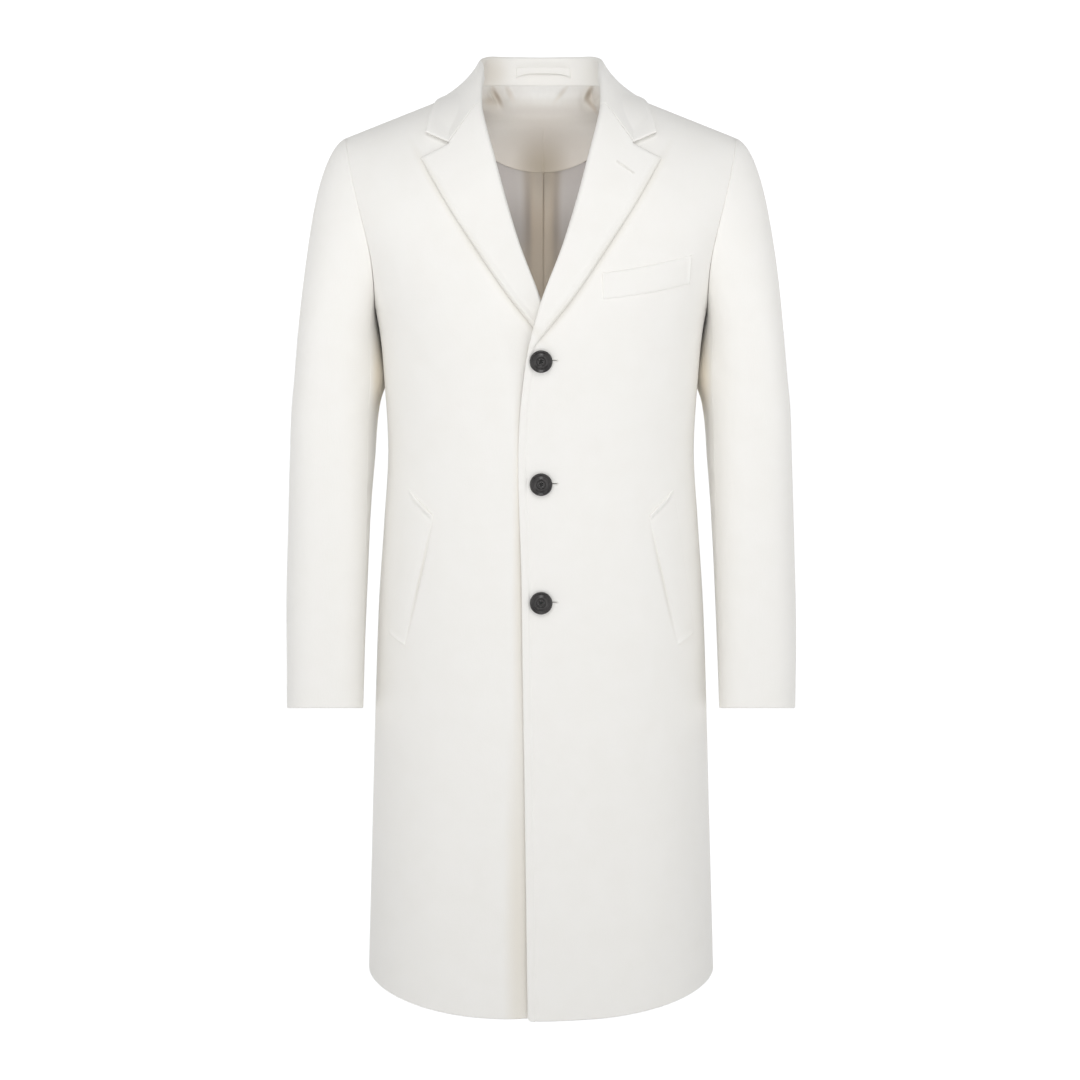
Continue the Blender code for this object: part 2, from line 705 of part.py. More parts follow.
YOKE_TURNS = np.radians(np.linspace(YOKE_TOP_TURN, YOKE_LOW_TURN, 9))
YOKE_ROWS = YOKE_CENTRE_Z - YOKE_RADIUS * np.sin(YOKE_TURNS[:0:-1])
YOKE_FOOT_Z = YOKE_CENTRE_Z - YOKE_RADIUS - SEAM_GAP
LINING_ROWS = np.concatenate([[HEM_Z + LINING_HEM_LIFT], BACK_ROWS[(BACK_ROWS > -1.0) & (BACK_ROWS < -0.105)],
                              [YOKE_FOOT_Z], YOKE_ROWS])

for side, word in ((LEFT, "left"), (RIGHT, "right")):
    body_panel(f"front_{word}", front_surface(side), FRONT_SHARES, FRONT_ROWS, AHEAD, side, True)
    body_panel(f"back_{word}", back_surface(seam_edge), BACK_SHARES, BACK_ROWS, BEHIND, side, False)
    sleeve_piece(f"top_sleeve_{word}", True, SLEEVE_ROWS, side)
    sleeve_piece(f"under_sleeve_{word}", False, SLEEVE_ROWS, side)
    lapel_across = np.linspace(0, 1, 8)
    lapel_along = np.linspace(0, 1, 15)
    low, _ = sheet(lapel_surface(side, 0.0), lapel_across, lapel_along, AHEAD)
    high, _ = sheet(lapel_surface(side, DOUBLE_WALL), lapel_across, lapel_along, AHEAD)
    wall(f"lapel_{word}", high, low, WOOL, side)
    welt(f"pocket_welt_{word}", POCKET_WELT, 4, 8, side)
    thick(f"back_lining_{word}", back_surface(lining_edge(side)), BACK_SHARES[1:], LINING_ROWS, BEHIND,
          LINING, side, near=WALL + LINING_GAP, far=WALL + LINING_GAP + LINING_WALL)

welt("breast_welt", BREAST_WELT, 8, 2, LEFT)
collar_way = np.linspace(-1, 1, 33)
thick("collar_fall", leaf_surface, np.linspace(0, 1, 8), collar_way, BEHIND, WOOL, near=-DOUBLE_WALL, far=0.0)
stand_way = np.linspace(-STAND_END, STAND_END, 29)
thick("collar_stand", stand_surface, np.linspace(0, 1, 4), stand_way, BEHIND, WOOL)
thick("hanger_loop", loop_surface, np.linspace(0, 1, 13), np.linspace(0, 1, 2), BEHIND, WOOL,
      near=WALL + SEAM_GAP, far=WALL + SEAM_GAP + LOOP_WALL)
thick("yoke_facing", yoke_surface, np.linspace(0, 1, 17), YOKE_TURNS, BEHIND, LINING,
      near=WALL + LINING_GAP, far=WALL + LINING_GAP + LINING_WALL)
for name, z in BUTTON_HEIGHTS:
    button(name, z)
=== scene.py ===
"""Look of a long overcoat in its worn shape: each sewn piece is a thin shell on the form of its CAD solid.

Metres, +Z up, the front faces -Y. The origin is the middle of the neck base. Left and right are the
wearer's, so left is +X. The body, armhole, lapel and welt tables are those of the part's source; those of
the sleeves and the collar are refined here.
"""
import math

import bmesh
import bpy
import numpy as np
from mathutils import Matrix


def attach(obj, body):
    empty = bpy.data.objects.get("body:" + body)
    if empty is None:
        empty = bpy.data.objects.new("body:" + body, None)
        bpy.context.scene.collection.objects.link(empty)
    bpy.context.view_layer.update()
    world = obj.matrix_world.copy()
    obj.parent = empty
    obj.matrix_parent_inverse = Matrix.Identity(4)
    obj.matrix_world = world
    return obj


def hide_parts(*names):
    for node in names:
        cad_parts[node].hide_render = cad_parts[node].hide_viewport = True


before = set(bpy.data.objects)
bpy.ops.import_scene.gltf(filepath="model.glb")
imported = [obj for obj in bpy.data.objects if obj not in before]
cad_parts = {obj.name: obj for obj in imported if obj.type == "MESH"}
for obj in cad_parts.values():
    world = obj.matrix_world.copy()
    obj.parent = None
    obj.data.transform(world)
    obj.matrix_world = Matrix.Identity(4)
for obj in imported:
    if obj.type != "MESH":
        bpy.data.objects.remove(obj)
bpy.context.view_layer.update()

LEFT = 1.0
RIGHT = -1.0
AHEAD = np.array([0.0, -1.0, 0.0])
BEHIND = np.array([0.0, 1.0, 0.0])

# Cloth
WALL = 0.0024
HEM_WALL = 0.0042
HEM_TURN = 0.040
EDGE_WALL = 0.0036
LAPEL_WALL = 0.0062
COLLAR_WALL = 0.0022
FOLD_WALL = 0.0017
LINING_WALL = 0.0010
SEAM_ROUND = 0.0010
EDGE_ROUND = 0.0017
SOFT_ROUND = 0.0046
HEM_ROUND = 0.0020
CORNER_ROUND = 0.0065
GORGE_ROUND = 0.0007
HIDDEN_ROUND = 0.0008

# How far through the wall an edge's line lies
MIDDLE_DROP = 0.5
GORGE_DROP = 0.8
FREE_DROP = 0.95

# Slow unevenness of the cloth: height, size and random seed
FRONT_DRIFT = (0.0003, 0.16, 3)
BACK_DRIFT = (0.0008, 0.15, 5)
SLEEVE_DRIFT = (0.0003, 0.11, 7)
LINING_DRIFT = (0.0006, 0.09, 11)

# Beside a crease the cloth goes back the other way: share of its height, and how many times as wide
CREASE_RETURN = 0.30
CREASE_RETURN_WIDTH = 2.1

# Shoulder line and the roundness of the shoulder
NECK_HALF_WIDTH = 0.0735
SHOULDER_SLOPE = 0.3955
SHOULDER_TIP_Z = -0.0588
SHOULDER_ROUND = 0.130
SHOULDER_POWER = 2.2
RING_POWER = 2.35

# Heights
UNDERARM_Z = -0.255
HEM_Z = -1.032
FRONT_HEM_DIP = 0.0210
LEFT_HEM_DROP = 0.0035
RIGHT_HEM_DROP = 0.0018
HEM_BLEND_Z = -0.76
CUFF_Z = -0.713
BICEP_Z = -0.300
ARMHOLE_MIDDLE_Z = (UNDERARM_Z + SHOULDER_TIP_Z) / 2
ARMHOLE_HALF_HEIGHT = (SHOULDER_TIP_Z - UNDERARM_Z) / 2

# The right front goes under the left one: height, then how steep it gets, and reach where it starts to sink
# and where it is steepest
LAP_SLOPE, LAP_START, LAP_FULL = 1, 2, 3
LAP = (
    (-1.060, 0.27, 0.0515, 0.0282),
    (-0.860, 0.28, 0.0465, 0.0282),
    (-0.645, 0.38, 0.0376, 0.0282),
    (-0.530, 0.46, 0.0350, 0.0282),
    (-0.390, 0.48, 0.0345, 0.0282),
    (-0.335, 0.40, 0.0410, 0.0300),
    (-0.200, 0.22, 0.0720, 0.0460),
    (0.000, 0.22, 0.0720, 0.0460),
)
LAP_STOP = 0.0165
LAP_RUN_OUT = 0.012

# Body sections: height, then these columns
HALF_WIDTH, FRONT_DEPTH, BACK_DEPTH = 1, 2, 3
BODY = (
    (-1.060, 0.2045, 0.1515, 0.1505),
    (-0.830, 0.1970, 0.1455, 0.1475),
    (-0.690, 0.1925, 0.1410, 0.1445),
    (-0.590, 0.1882, 0.1365, 0.1385),
    (-0.500, 0.1818, 0.1305, 0.1275),
    (-0.417, 0.1766, 0.1280, 0.1215),
    (-0.345, 0.1800, 0.1335, 0.1260),
    (-0.255, 0.1900, 0.1400, 0.1370),
    (-0.191, 0.2110, 0.1355, 0.1425),
    (-0.127, 0.2400, 0.1195, 0.1370),
    (-0.0615, 0.2550, 0.1055, 0.1265),
    (0.000, 0.2600, 0.1020, 0.1290),
)

# Front edge and, above the top button, the roll line of the lapel: height, then reach from the middle
REACH = 1
FRONT_EDGE = (
    (-1.060, -0.0154),
    (-0.800, -0.0187),
    (-0.570, -0.0219),
    (-0.340, -0.0216),
    (-0.2845, -0.0135),
    (-0.2377, -0.0009),
    (-0.1708, 0.0245),
    (-0.1228, 0.0394),
    (-0.0790, 0.0512),
    (-0.0226, 0.0655),
    (0.000, 0.0688),
)

# Armhole seam: height, then its half width on the front and on the back
FRONT_HALF, BACK_HALF = 1, 2
ARMHOLE = (
    (-0.2550, 0.1900, 0.1900),
    (-0.2230, 0.1896, 0.1880),
    (-0.1910, 0.1923, 0.1895),
    (-0.1610, 0.1985, 0.1940),
    (-0.1270, 0.2072, 0.2015),
    (-0.0930, 0.2153, 0.2110),
    (-0.0588, 0.2222, 0.2222),
)

# Sleeve sections: height, then these columns, the last one the fullness under the arm
CENTRE_X, CENTRE_Y, HALF_ACROSS, HALF_ALONG, PITCH, SHEAR, FULLNESS = range(1, 8)
SLEEVE = (
    (-0.300, 0.2330, 0.0060, 0.0455, 0.0760, 1.0, 0.10, 0.0040),
    (-0.335, 0.2346, 0.0056, 0.0471, 0.0746, 1.5, 0.11, 0.0080),
    (-0.362, 0.2362, 0.0048, 0.0480, 0.0734, 2.0, 0.12, 0.0000),
    (-0.430, 0.2412, 0.0000, 0.0475, 0.0695, 4.0, 0.06, 0.0000),
    (-0.520, 0.2460, -0.0105, 0.0468, 0.0640, 8.0, 0.00, 0.0000),
    (-0.620, 0.2490, -0.0270, 0.0456, 0.0580, 10.5, 0.00, 0.0000),
    (-0.713, 0.2500, -0.0450, 0.0436, 0.0520, 11.4, 0.00, 0.0000),
)
FULLNESS_TURN = 8.0
FULLNESS_POWER = 8
SLEEVE_POWER = 2.6
CAP_SHARE = 0.42
CAP_REACH = 0.150
CAP_DROP = 0.42
ARMHOLE_GROOVE = 0.28
FRONT_SEAM_TOP = 40.0
FRONT_SEAM_CUFF = 15.0
BACK_SEAM_TOP = 300.0
BACK_SEAM_CUFF = 288.0

# Lapel: share of the way from the break of the roll to the point, then its free edge
EDGE_X, EDGE_Z = 1, 2
LAPEL_BREAK_Z = -0.288
LAPEL_TOP_Z = -0.0237
LAPEL_EDGE = (
    (0.00, -0.0110, -0.2895),
    (0.12, 0.0050, -0.2690),
    (0.30, 0.0330, -0.2345),
    (0.55, 0.0740, -0.1755),
    (0.80, 0.1085, -0.1235),
    (1.00, 0.1343, -0.0795),
)
LAPEL_START = -0.03
LAPEL_HEIGHT = 0.0037
LAPEL_STAND_OFF = 0.0030
ROLL_LIFT = 0.0040
ROLL_SPACE = 0.0004
ROLL_TUCK = 0.0006
ROLL_TUCK_Z = (-0.298, -0.287)
FACING_REACH = 0.030
NOTCH_SHARE = 0.49
NOTCH_DROP = 0.0125

# Collar: share of the way from the middle of the back to the gorge, then x, y and z of the fold line
FOLD = (
    (0.00, 0.0000, 0.0690, 0.0309),
    (0.25, 0.0380, 0.0600, 0.0313),
    (0.50, 0.0635, 0.0330, 0.0314),
    (0.70, 0.0700, 0.0020, 0.0248),
    (0.85, 0.0695, -0.0300, 0.0080),
    (1.00, 0.0668, -0.0700, -0.0237),
)
# The same share, then x and y of the leaf's edge, which rests on the shoulders
LEAF = (
    (0.00, 0.0000, 0.0930),
    (0.25, 0.0450, 0.0855),
    (0.50, 0.0885, 0.0590),
    (0.70, 0.1110, 0.0200),
    (0.85, 0.1215, -0.0240),
    (1.00, 0.1278, -0.0640),
)
LEAF_LIFT = 0.0002
LEAF_SOFT = 0.0006
COLLAR_HOLLOW = 0.0060
COLLAR_TIP = (0.1278, -0.0530)
GORGE_BLEND = 0.72
FOLD_DROP = 0.0018
FOLD_RADIUS = 0.0034
FOLD_INSIDE = 0.0075
FOLD_UNDER = 0.45
FOLD_SINK = 0.0014
CREST_BACK = 0.20
SPLIT_BLEND = (0.64, 0.77)
STAND_END = 0.78
RIDGE_SHARE = 0.70

# Yoke facing and lining inside the back
YOKE_RADIUS = 0.1055
YOKE_CENTRE_Z = 0.004
YOKE_END_TURN = 8.81
YOKE_INSET = 0.0066
YOKE_SLACK = 0.0115
LINING_INSET = 0.0048
LINING_HEM_LIFT = 0.030
LINING_SEAM_X = 0.0030
LINING_SIDE = 0.06
LINING_OVERLAP = 0.014

# Welts: four corners as reach and height, from the upper inner one round by the upper outer one
BREAST_WELT = ((0.0670, -0.2034), (0.1690, -0.1856), (0.1672, -0.2192), (0.0682, -0.2337))
POCKET_WELT = ((0.1212, -0.4785), (0.1507, -0.4511), (0.1764, -0.6214), (0.1557, -0.6316))

# Buttons and buttonholes
BUTTON_HEIGHTS = (("top", -0.3013), ("middle", -0.4407), ("bottom", -0.5741))
BUTTON_LIFT = 0.0012
HOLE_ENDS = (-0.004, 0.0185)

# Hanger loop on the stand: ends as reach, heights as shares of the stand
LOOP_ENDS = (-0.0284, 0.0342)
LOOP_LOW = 0.46
LOOP_HIGH = 0.73
LOOP_DROOP = 0.18
LOOP_WALL = 0.0013

# Steps from an edge inwards
JOIN_STEPS = np.array([0.0, 0.002])
SEAM_STEPS = np.array([0.0, 0.00015, 0.0004, 0.0008, 0.0013, 0.0020, 0.0032, 0.0050])
RIM_STEPS = np.array([0.0, 0.00015, 0.0004, 0.0008, 0.0013, 0.0018, 0.0026, 0.0038, 0.0056])
FRONT_STEPS = np.array([0.0, 0.0002, 0.0005, 0.0009, 0.0014, 0.0020, 0.0028, 0.0038, 0.0050, 0.0061, 0.0071,
                        0.0079, 0.0086, 0.0093, 0.0101, 0.0111, 0.0125, 0.0145, 0.0175, 0.0215])


def column(table, index, at):
    """One column of a table as a smooth curve of its first column."""
    rows = np.asarray(table, float)
    rows = rows[np.argsort(rows[:, 0])]
    x = rows[:, 0]
    y = rows[:, index]
    step = np.diff(x)
    rise = np.diff(y) / step
    slope = np.zeros_like(y)
    slope[0] = rise[0]
    slope[-1] = rise[-1]
    weight = step[1:] / (step[1:] + step[:-1])
    slope[1:-1] = rise[:-1] * weight + rise[1:] * (1 - weight)
    at = np.clip(np.asarray(at, float), x[0], x[-1])
    i = np.clip(np.searchsorted(x, at) - 1, 0, len(x) - 2)
    t = (at - x[i]) / step[i]
    return ((1 + 2 * t) * (1 - t) ** 2 * y[i] + t * (1 - t) ** 2 * step[i] * slope[i]
            + t * t * (3 - 2 * t) * y[i + 1] + t * t * (t - 1) * step[i] * slope[i + 1])


def ease(low, high, at):
    """Smooth step from 0 at low to 1 at high."""
    t = np.clip((np.asarray(at, float) - low) / (high - low), 0, 1)
    return t * t * (3 - 2 * t)


def bell(at, middle, width):
    return np.exp(-((at - middle) / width) ** 2)


def swell(at, rows):
    """Sum of soft swellings, each with its height, its middle and its half width."""
    return sum(height * bell(at, middle, width) for height, middle, width in rows)


def unit(vectors):
    return vectors / np.maximum(np.linalg.norm(vectors, axis=-1, keepdims=True), 1e-12)


def stack(x, y, z):
    return np.stack(np.broadcast_arrays(x, y, z), axis=-1)


def mix(a, b, share):
    return a + (b - a) * share


def run(points, axis):
    """Distance along each grid line from its first point."""
    steps = np.linalg.norm(np.diff(points, axis=axis), axis=-1)
    start = np.zeros_like(np.take(steps, [0], axis=axis))
    return np.concatenate([start, np.cumsum(steps, axis=axis)], axis=axis)


def run_back(points, axis):
    """Distance along each grid line to its last point."""
    far = run(points, axis)
    return np.take(far, [-1], axis=axis) - far


def graded(length, count, head, tail):
    """Places along lines of given lengths: fixed fine steps at both ends, even ones between."""
    length = np.atleast_1d(np.asarray(length, float))
    scale = np.minimum(1, length / (3 * (head[-1] + tail[-1])))
    first = head[:, None] * scale
    last = length - tail[::-1, None] * scale
    between = first[-1] + (last[0] - first[-1]) * np.linspace(0, 1, count)[1:-1, None]
    return np.concatenate([first, between, last])


def line_shares(size, count, head, tail):
    """Shares along one line of a given size, fine at both ends."""
    return graded(1.0, count, head / size, tail / size)[:, 0]


def even_shares(surface, lines, count, head, tail):
    """Shares along each line of a surface that put its points at graded distances."""
    fine = np.linspace(0, 1, 301)
    a, b = np.meshgrid(fine, lines, indexing="ij")
    far = run(surface(a, b), 0)
    places = graded(far[-1], count, head, tail)
    shares = np.stack([np.interp(places[:, j], far[:, j], fine) for j in range(len(lines))], axis=1)
    return shares, np.broadcast_to(lines, shares.shape)


def grid_normals(points, facing):
    """Unit normals of a grid, turned so that its middle one faces a given way."""
    out = unit(np.cross(np.gradient(points, axis=0), np.gradient(points, axis=1)))
    middle = out[out.shape[0] // 2, out.shape[1] // 2]
    return out if np.dot(middle, facing) > 0 else -out


def raised(points, facing, lift):
    """A grid moved out along its normals."""
    return points + grid_normals(points, facing) * lift[..., None]


# The body

def ridge_z(x):
    """Height of the shoulder seam at a reach from the middle, rounded over inside the neck."""
    reach = np.abs(x)
    inside = (reach ** 2 + NECK_HALF_WIDTH ** 2) / (2 * NECK_HALF_WIDTH)
    return -SHOULDER_SLOPE * (np.where(reach < NECK_HALF_WIDTH, inside, reach) - NECK_HALF_WIDTH)


def ridge_x(z):
    return NECK_HALF_WIDTH - z / SHOULDER_SLOPE


def depth(x, z, index):
    """Depth of the body from the side seams: a rounded section that closes over the shoulder."""
    across = np.clip(np.abs(x) / column(BODY, HALF_WIDTH, z), 0, 1)
    section = (1 - across ** RING_POWER) ** (1 / RING_POWER)
    below = np.clip((ridge_z(x) - z) / SHOULDER_ROUND, 0, 1)
    shoulder = (1 - (1 - below) ** SHOULDER_POWER) ** (1 / SHOULDER_POWER)
    return column(BODY, index, z) * section * shoulder


def lap(x, z):
    """How far the right front sinks to go under the left one."""
    slope = column(LAP, LAP_SLOPE, z)
    start = column(LAP, LAP_START, z)
    full = column(LAP, LAP_FULL, z)
    t = np.clip((start - x) / (start - full), 0, 1)
    even = np.clip(full - x, 0, full - LAP_STOP)
    u = np.clip((LAP_STOP - x) / LAP_RUN_OUT, 0, 1)
    run_out = LAP_RUN_OUT * (u - u ** 3 + u ** 4 / 2)
    return slope * ((start - full) * (t ** 3 - t ** 4 / 2) + even + run_out)


def front_point(x, z, side):
    """A point of the front surface at a reach towards its own side and a height."""
    y = -depth(x, z, FRONT_DEPTH)
    if side == RIGHT:
        y = y + lap(x, z)
    return stack(x, y, z)


def front_normal(x, z, side):
    step = 0.0005
    dx = front_point(x + step, z, side) - front_point(x - step, z, side)
    dz = front_point(x, z + step, side) - front_point(x, z - step, side)
    return unit(np.cross(dx, dz))


def back_point(x, z):
    return stack(x, depth(x, z, BACK_DEPTH), z)


def side_x(z, index):
    """Where a body row starts: side seam, armhole or shoulder seam."""
    hole = column(ARMHOLE, index, z)
    body = np.where(z < UNDERARM_Z, column(BODY, HALF_WIDTH, z), hole)
    return np.where(z > SHOULDER_TIP_Z, ridge_x(z), body)


def hem_row(share, z, side):
    """Row height with the hem's dip towards the middle."""
    dip = FRONT_HEM_DIP * ease(0.0, 0.75, share)
    dip = dip + (LEFT_HEM_DROP if side == LEFT else RIGHT_HEM_DROP) * ease(0.55, 1.0, share)
    return z - dip * ease(HEM_BLEND_Z, HEM_Z, z)


# Lapel heights come first, because the front's edge is tucked inside the lapel's roll

def lapel_height(across, share):
    """Height of a lapel's face over its front: low at the break, raised on the roll, loose lower down."""
    low = LAPEL_HEIGHT * mix(0.30, 1.0, ease(-0.02, 0.12, share))
    roll = ROLL_LIFT * (1 - across ** 2) ** 2 * ease(0.30, 0.65, share)
    off = LAPEL_STAND_OFF * across ** 1.5 * ease(0.02, 0.22, share) * (1 - 0.85 * ease(0.40, 0.95, share))
    return low + roll + off


def roll_radius(share):
    return (lapel_height(np.zeros_like(share), share) + WALL + ROLL_SPACE) / 2


def lapel_share(z):
    return (z - LAPEL_BREAK_Z) / (LAPEL_TOP_Z - LAPEL_BREAK_Z)


def front_edge(z):
    """Reach of a front panel's edge: the front edge itself, and inside the roll above the break."""
    share = np.clip(lapel_share(z), LAPEL_START, 1)
    tuck = (roll_radius(share) + ROLL_TUCK) * ease(*ROLL_TUCK_Z, z)
    return column(FRONT_EDGE, REACH, z) + tuck


def front_surface(side):
    """Front panel: share from the side (0) to the front edge (1), and row height."""

    def surface(share, z):
        z = hem_row(share, z, side)
        start = side_x(z, FRONT_HALF)
        turn = np.arccos(np.clip(front_edge(z) / start, -1, 1))
        x = start * np.cos(share * turn)
        return front_point(x, z, side)

    return surface


def back_surface(edge):
    """Back panel: share from the side (0) to its inner edge (1), and row height."""

    def surface(share, z):
        start = side_x(z, BACK_HALF)
        turn = np.arccos(np.clip(edge(z) / start, -1, 1))
        return back_point(start * np.cos(share * turn), z)

    return surface


def armhole_point(angle):
    """Armhole seam: 0 under the arm, a half turn at the shoulder tip, the front first."""
    z = ARMHOLE_MIDDLE_Z - ARMHOLE_HALF_HEIGHT * np.cos(angle)
    front = np.sin(angle) >= 0
    x = np.where(front, side_x(z, FRONT_HALF), side_x(z, BACK_HALF))
    y = np.where(front, -depth(x, z, FRONT_DEPTH), depth(x, z, BACK_DEPTH))
    return stack(x, y, z)


def armhole_rim(angle):
    """Bottom of the armhole seam's groove, shared by the body and the sleeve."""
    facing = unit(stack(0.25 - 0.25 * np.cos(angle), -np.sin(angle), -np.cos(angle)))
    return armhole_point(angle) - facing * WALL * ARMHOLE_GROOVE


# The sleeves

def sleeve_ring(angle, z):
    """Sleeve section: 0 at the body, a quarter at the front, a half outside."""
    power = 2 / SLEEVE_POWER
    across = -np.sign(np.cos(angle)) * np.abs(np.cos(angle)) ** power * column(SLEEVE, HALF_ACROSS, z)
    along = -np.sign(np.sin(angle)) * np.abs(np.sin(angle)) ** power * column(SLEEVE, HALF_ALONG, z)
    behind = np.clip(np.cos(angle + math.radians(FULLNESS_TURN)), 0, 1) ** FULLNESS_POWER
    pitch = np.radians(column(SLEEVE, PITCH, z))
    x = column(SLEEVE, CENTRE_X, z) + across - column(SLEEVE, SHEAR, z) * along
    x = x - column(SLEEVE, FULLNESS, z) * behind
    y = column(SLEEVE, CENTRE_Y, z) + along * np.cos(pitch)
    return stack(x, y, z - along * np.sin(pitch))


def sleeve_point(angle, share):
    """Sleeve surface from the armhole (0) over the cap and down to the cuff (1)."""
    angle, share = np.broadcast_arrays(np.asarray(angle, float), np.asarray(share, float))
    start = armhole_point(angle)
    end = sleeve_ring(angle, np.full(angle.shape, BICEP_Z))
    way = np.linalg.norm(end - start, axis=-1, keepdims=True)
    ahead = np.clip(np.sin(angle), 0, 1)
    out = unit(stack(0.5 - 0.4 * np.cos(angle) + 0.15 * ahead, -0.25 * np.sin(angle) + 0.20 * ahead,
                     -0.715 - 0.385 * np.cos(angle)))
    down = unit(sleeve_ring(angle, np.full(angle.shape, BICEP_Z - 0.004)) - end)
    t = np.clip(share / CAP_SHARE, 0, 1)[..., None]
    near = start + out * way * CAP_REACH
    far = end - down * way * CAP_DROP
    cap = (1 - t) ** 3 * start + 3 * t * (1 - t) ** 2 * near + 3 * t * t * (1 - t) * far + t ** 3 * end
    z = mix(BICEP_Z, CUFF_Z, np.clip((share - CAP_SHARE) / (1 - CAP_SHARE), 0, 1))
    return np.where((share < CAP_SHARE)[..., None], cap, sleeve_ring(angle, z))


def sleeve_angle(top, across, share):
    """Angle of a place on a sleeve piece, between its front and back seams."""
    front = np.radians(mix(FRONT_SEAM_TOP, FRONT_SEAM_CUFF, share))
    back = np.radians(mix(BACK_SEAM_TOP, BACK_SEAM_CUFF, share))
    return mix(front, back, across) if top else mix(back - 2 * math.pi, front, across)


# Lapels and collar

def lapel_place(across, share):
    """Reach and height on a lapel: from the roll (0) to the free edge (1), break to top."""
    roll_z = mix(LAPEL_BREAK_Z, LAPEL_TOP_Z, share)
    roll_x = column(FRONT_EDGE, REACH, roll_z) + roll_radius(share)
    x = mix(roll_x, column(LAPEL_EDGE, EDGE_X, share), across)
    z = mix(roll_z, column(LAPEL_EDGE, EDGE_Z, share), across)
    bend = np.minimum(across / NOTCH_SHARE, (1 - across) / (1 - NOTCH_SHARE))
    return x, z - NOTCH_DROP * bend * ease(0.8, 1.0, share)


def roll_frame(share, side):
    """Roll line of a lapel: its point on the front, the front's normal and the way over the roll."""
    zero = np.zeros_like(share)
    x, z = lapel_place(zero, share)
    step = 0.01
    ahead = front_point(*lapel_place(zero, share + step), side)
    behind = front_point(*lapel_place(zero, share - step), side)
    out = front_normal(x, z, side)
    over = unit(np.cross(out, ahead - behind))
    over = over * np.where(over[..., :1] > 0, -1.0, 1.0)
    return front_point(x, z, side), out, over


def body_height(x, y):
    """Height of the shoulders or chest at a place in plan."""
    x, y = np.broadcast_arrays(np.asarray(x, float), np.asarray(y, float))
    low = np.full(x.shape, -0.25)
    high = ridge_z(x)
    for _ in range(40):
        middle = (low + high) / 2
        reach = np.where(y < 0, depth(x, middle, FRONT_DEPTH), depth(x, middle, BACK_DEPTH))
        inside = reach > np.abs(y)
        low = np.where(inside, middle, low)
        high = np.where(inside, high, middle)
    return low


def both_ways(table, signs):
    """A half table continued through the middle, each column mirrored with its sign."""
    rows = [tuple(row) for row in table]
    other = [tuple(value * sign for value, sign in zip(row, signs)) for row in table[1:]]
    return other[::-1] + rows


def fold_point(way):
    table = both_ways(FOLD, (-1, -1, 1, 1))
    drop = FOLD_DROP * (1 - ease(0.60, 0.95, np.abs(way)))
    x, y, z = (column(table, i, way) for i in (1, 2, 3))
    return stack(x, y, z - drop)


def gorge_line(across):
    """End of the collar on the left: along the gorge to the notch, then out to the collar's point."""
    one = np.ones_like(across)
    inner_x, inner_z = lapel_place(np.minimum(across, NOTCH_SHARE), one)
    beyond = np.clip((across - NOTCH_SHARE) / (1 - NOTCH_SHARE), 0, 1)
    x = mix(inner_x, COLLAR_TIP[0], beyond)
    z = mix(inner_z, COLLAR_TIP[1], beyond)
    rise = (lapel_height(np.minimum(across, NOTCH_SHARE), one) - COLLAR_WALL)[..., None]
    return front_point(x, z, LEFT) + front_normal(x, z, LEFT) * rise


def leaf_line(across, way):
    """Collar leaf before its ends are set on the gorge: a hollow curve from fold to edge."""
    table = both_ways(LEAF, (-1, -1, 1))
    x = column(table, 1, way)
    y = column(table, 2, way)
    edge = stack(x, y, body_height(x, y) + LEAF_LIFT)
    fold = fold_point(way)
    sink = unit(stack(-x, -y, np.full_like(x, -0.05)))
    middle = (fold + edge) / 2 + sink * COLLAR_HOLLOW
    t = across[..., None]
    return (1 - t) ** 2 * fold + 2 * t * (1 - t) * middle + t * t * edge


def leaf_surface(across, way):
    """Inner face of the collar leaf, share from fold (0) to edge (1), way from right (-1) to left (1)."""
    flip = stack(np.where(way < 0, -1.0, 1.0), 1.0, 1.0)
    hold = ease(GORGE_BLEND, 1.0, np.abs(way))[..., None]
    end = gorge_line(across) * flip
    loose = leaf_line(across, way)
    loose_end = leaf_line(across, np.where(way < 0, -1.0, 1.0))
    point = loose + (end - loose_end) * hold
    ground = body_height(point[..., 0], point[..., 1])
    rise = point[..., 2] - ground
    clear = (rise + LEAF_LIFT + np.hypot(rise - LEAF_LIFT, LEAF_SOFT)) / 2
    return stack(point[..., 0], point[..., 1], ground + clear)


def neck_point(way):
    """Neck seam, from the middle of the back round the side and down the roll line."""
    share = np.abs(way)
    turn = np.clip(share / RIDGE_SHARE, 0, 1) * math.pi / 2
    back_x = NECK_HALF_WIDTH * np.sin(turn)
    back = back_point(back_x, np.zeros_like(share))
    ahead = np.clip((share - RIDGE_SHARE) / (1 - RIDGE_SHARE), 0, 1)
    front_z = mix(0.0, LAPEL_TOP_Z, ease(0.15, 1.0, ahead))
    edge = column(FRONT_EDGE, REACH, front_z)
    front_x = mix(NECK_HALF_WIDTH, edge, ease(0.0, 0.4, ahead))
    front = front_point(np.minimum(front_x, ridge_x(front_z)), front_z, LEFT)
    point = np.where((share < RIDGE_SHARE)[..., None], back, front)
    return point * stack(np.where(way < 0, -1.0, 1.0), 1.0, 1.0)


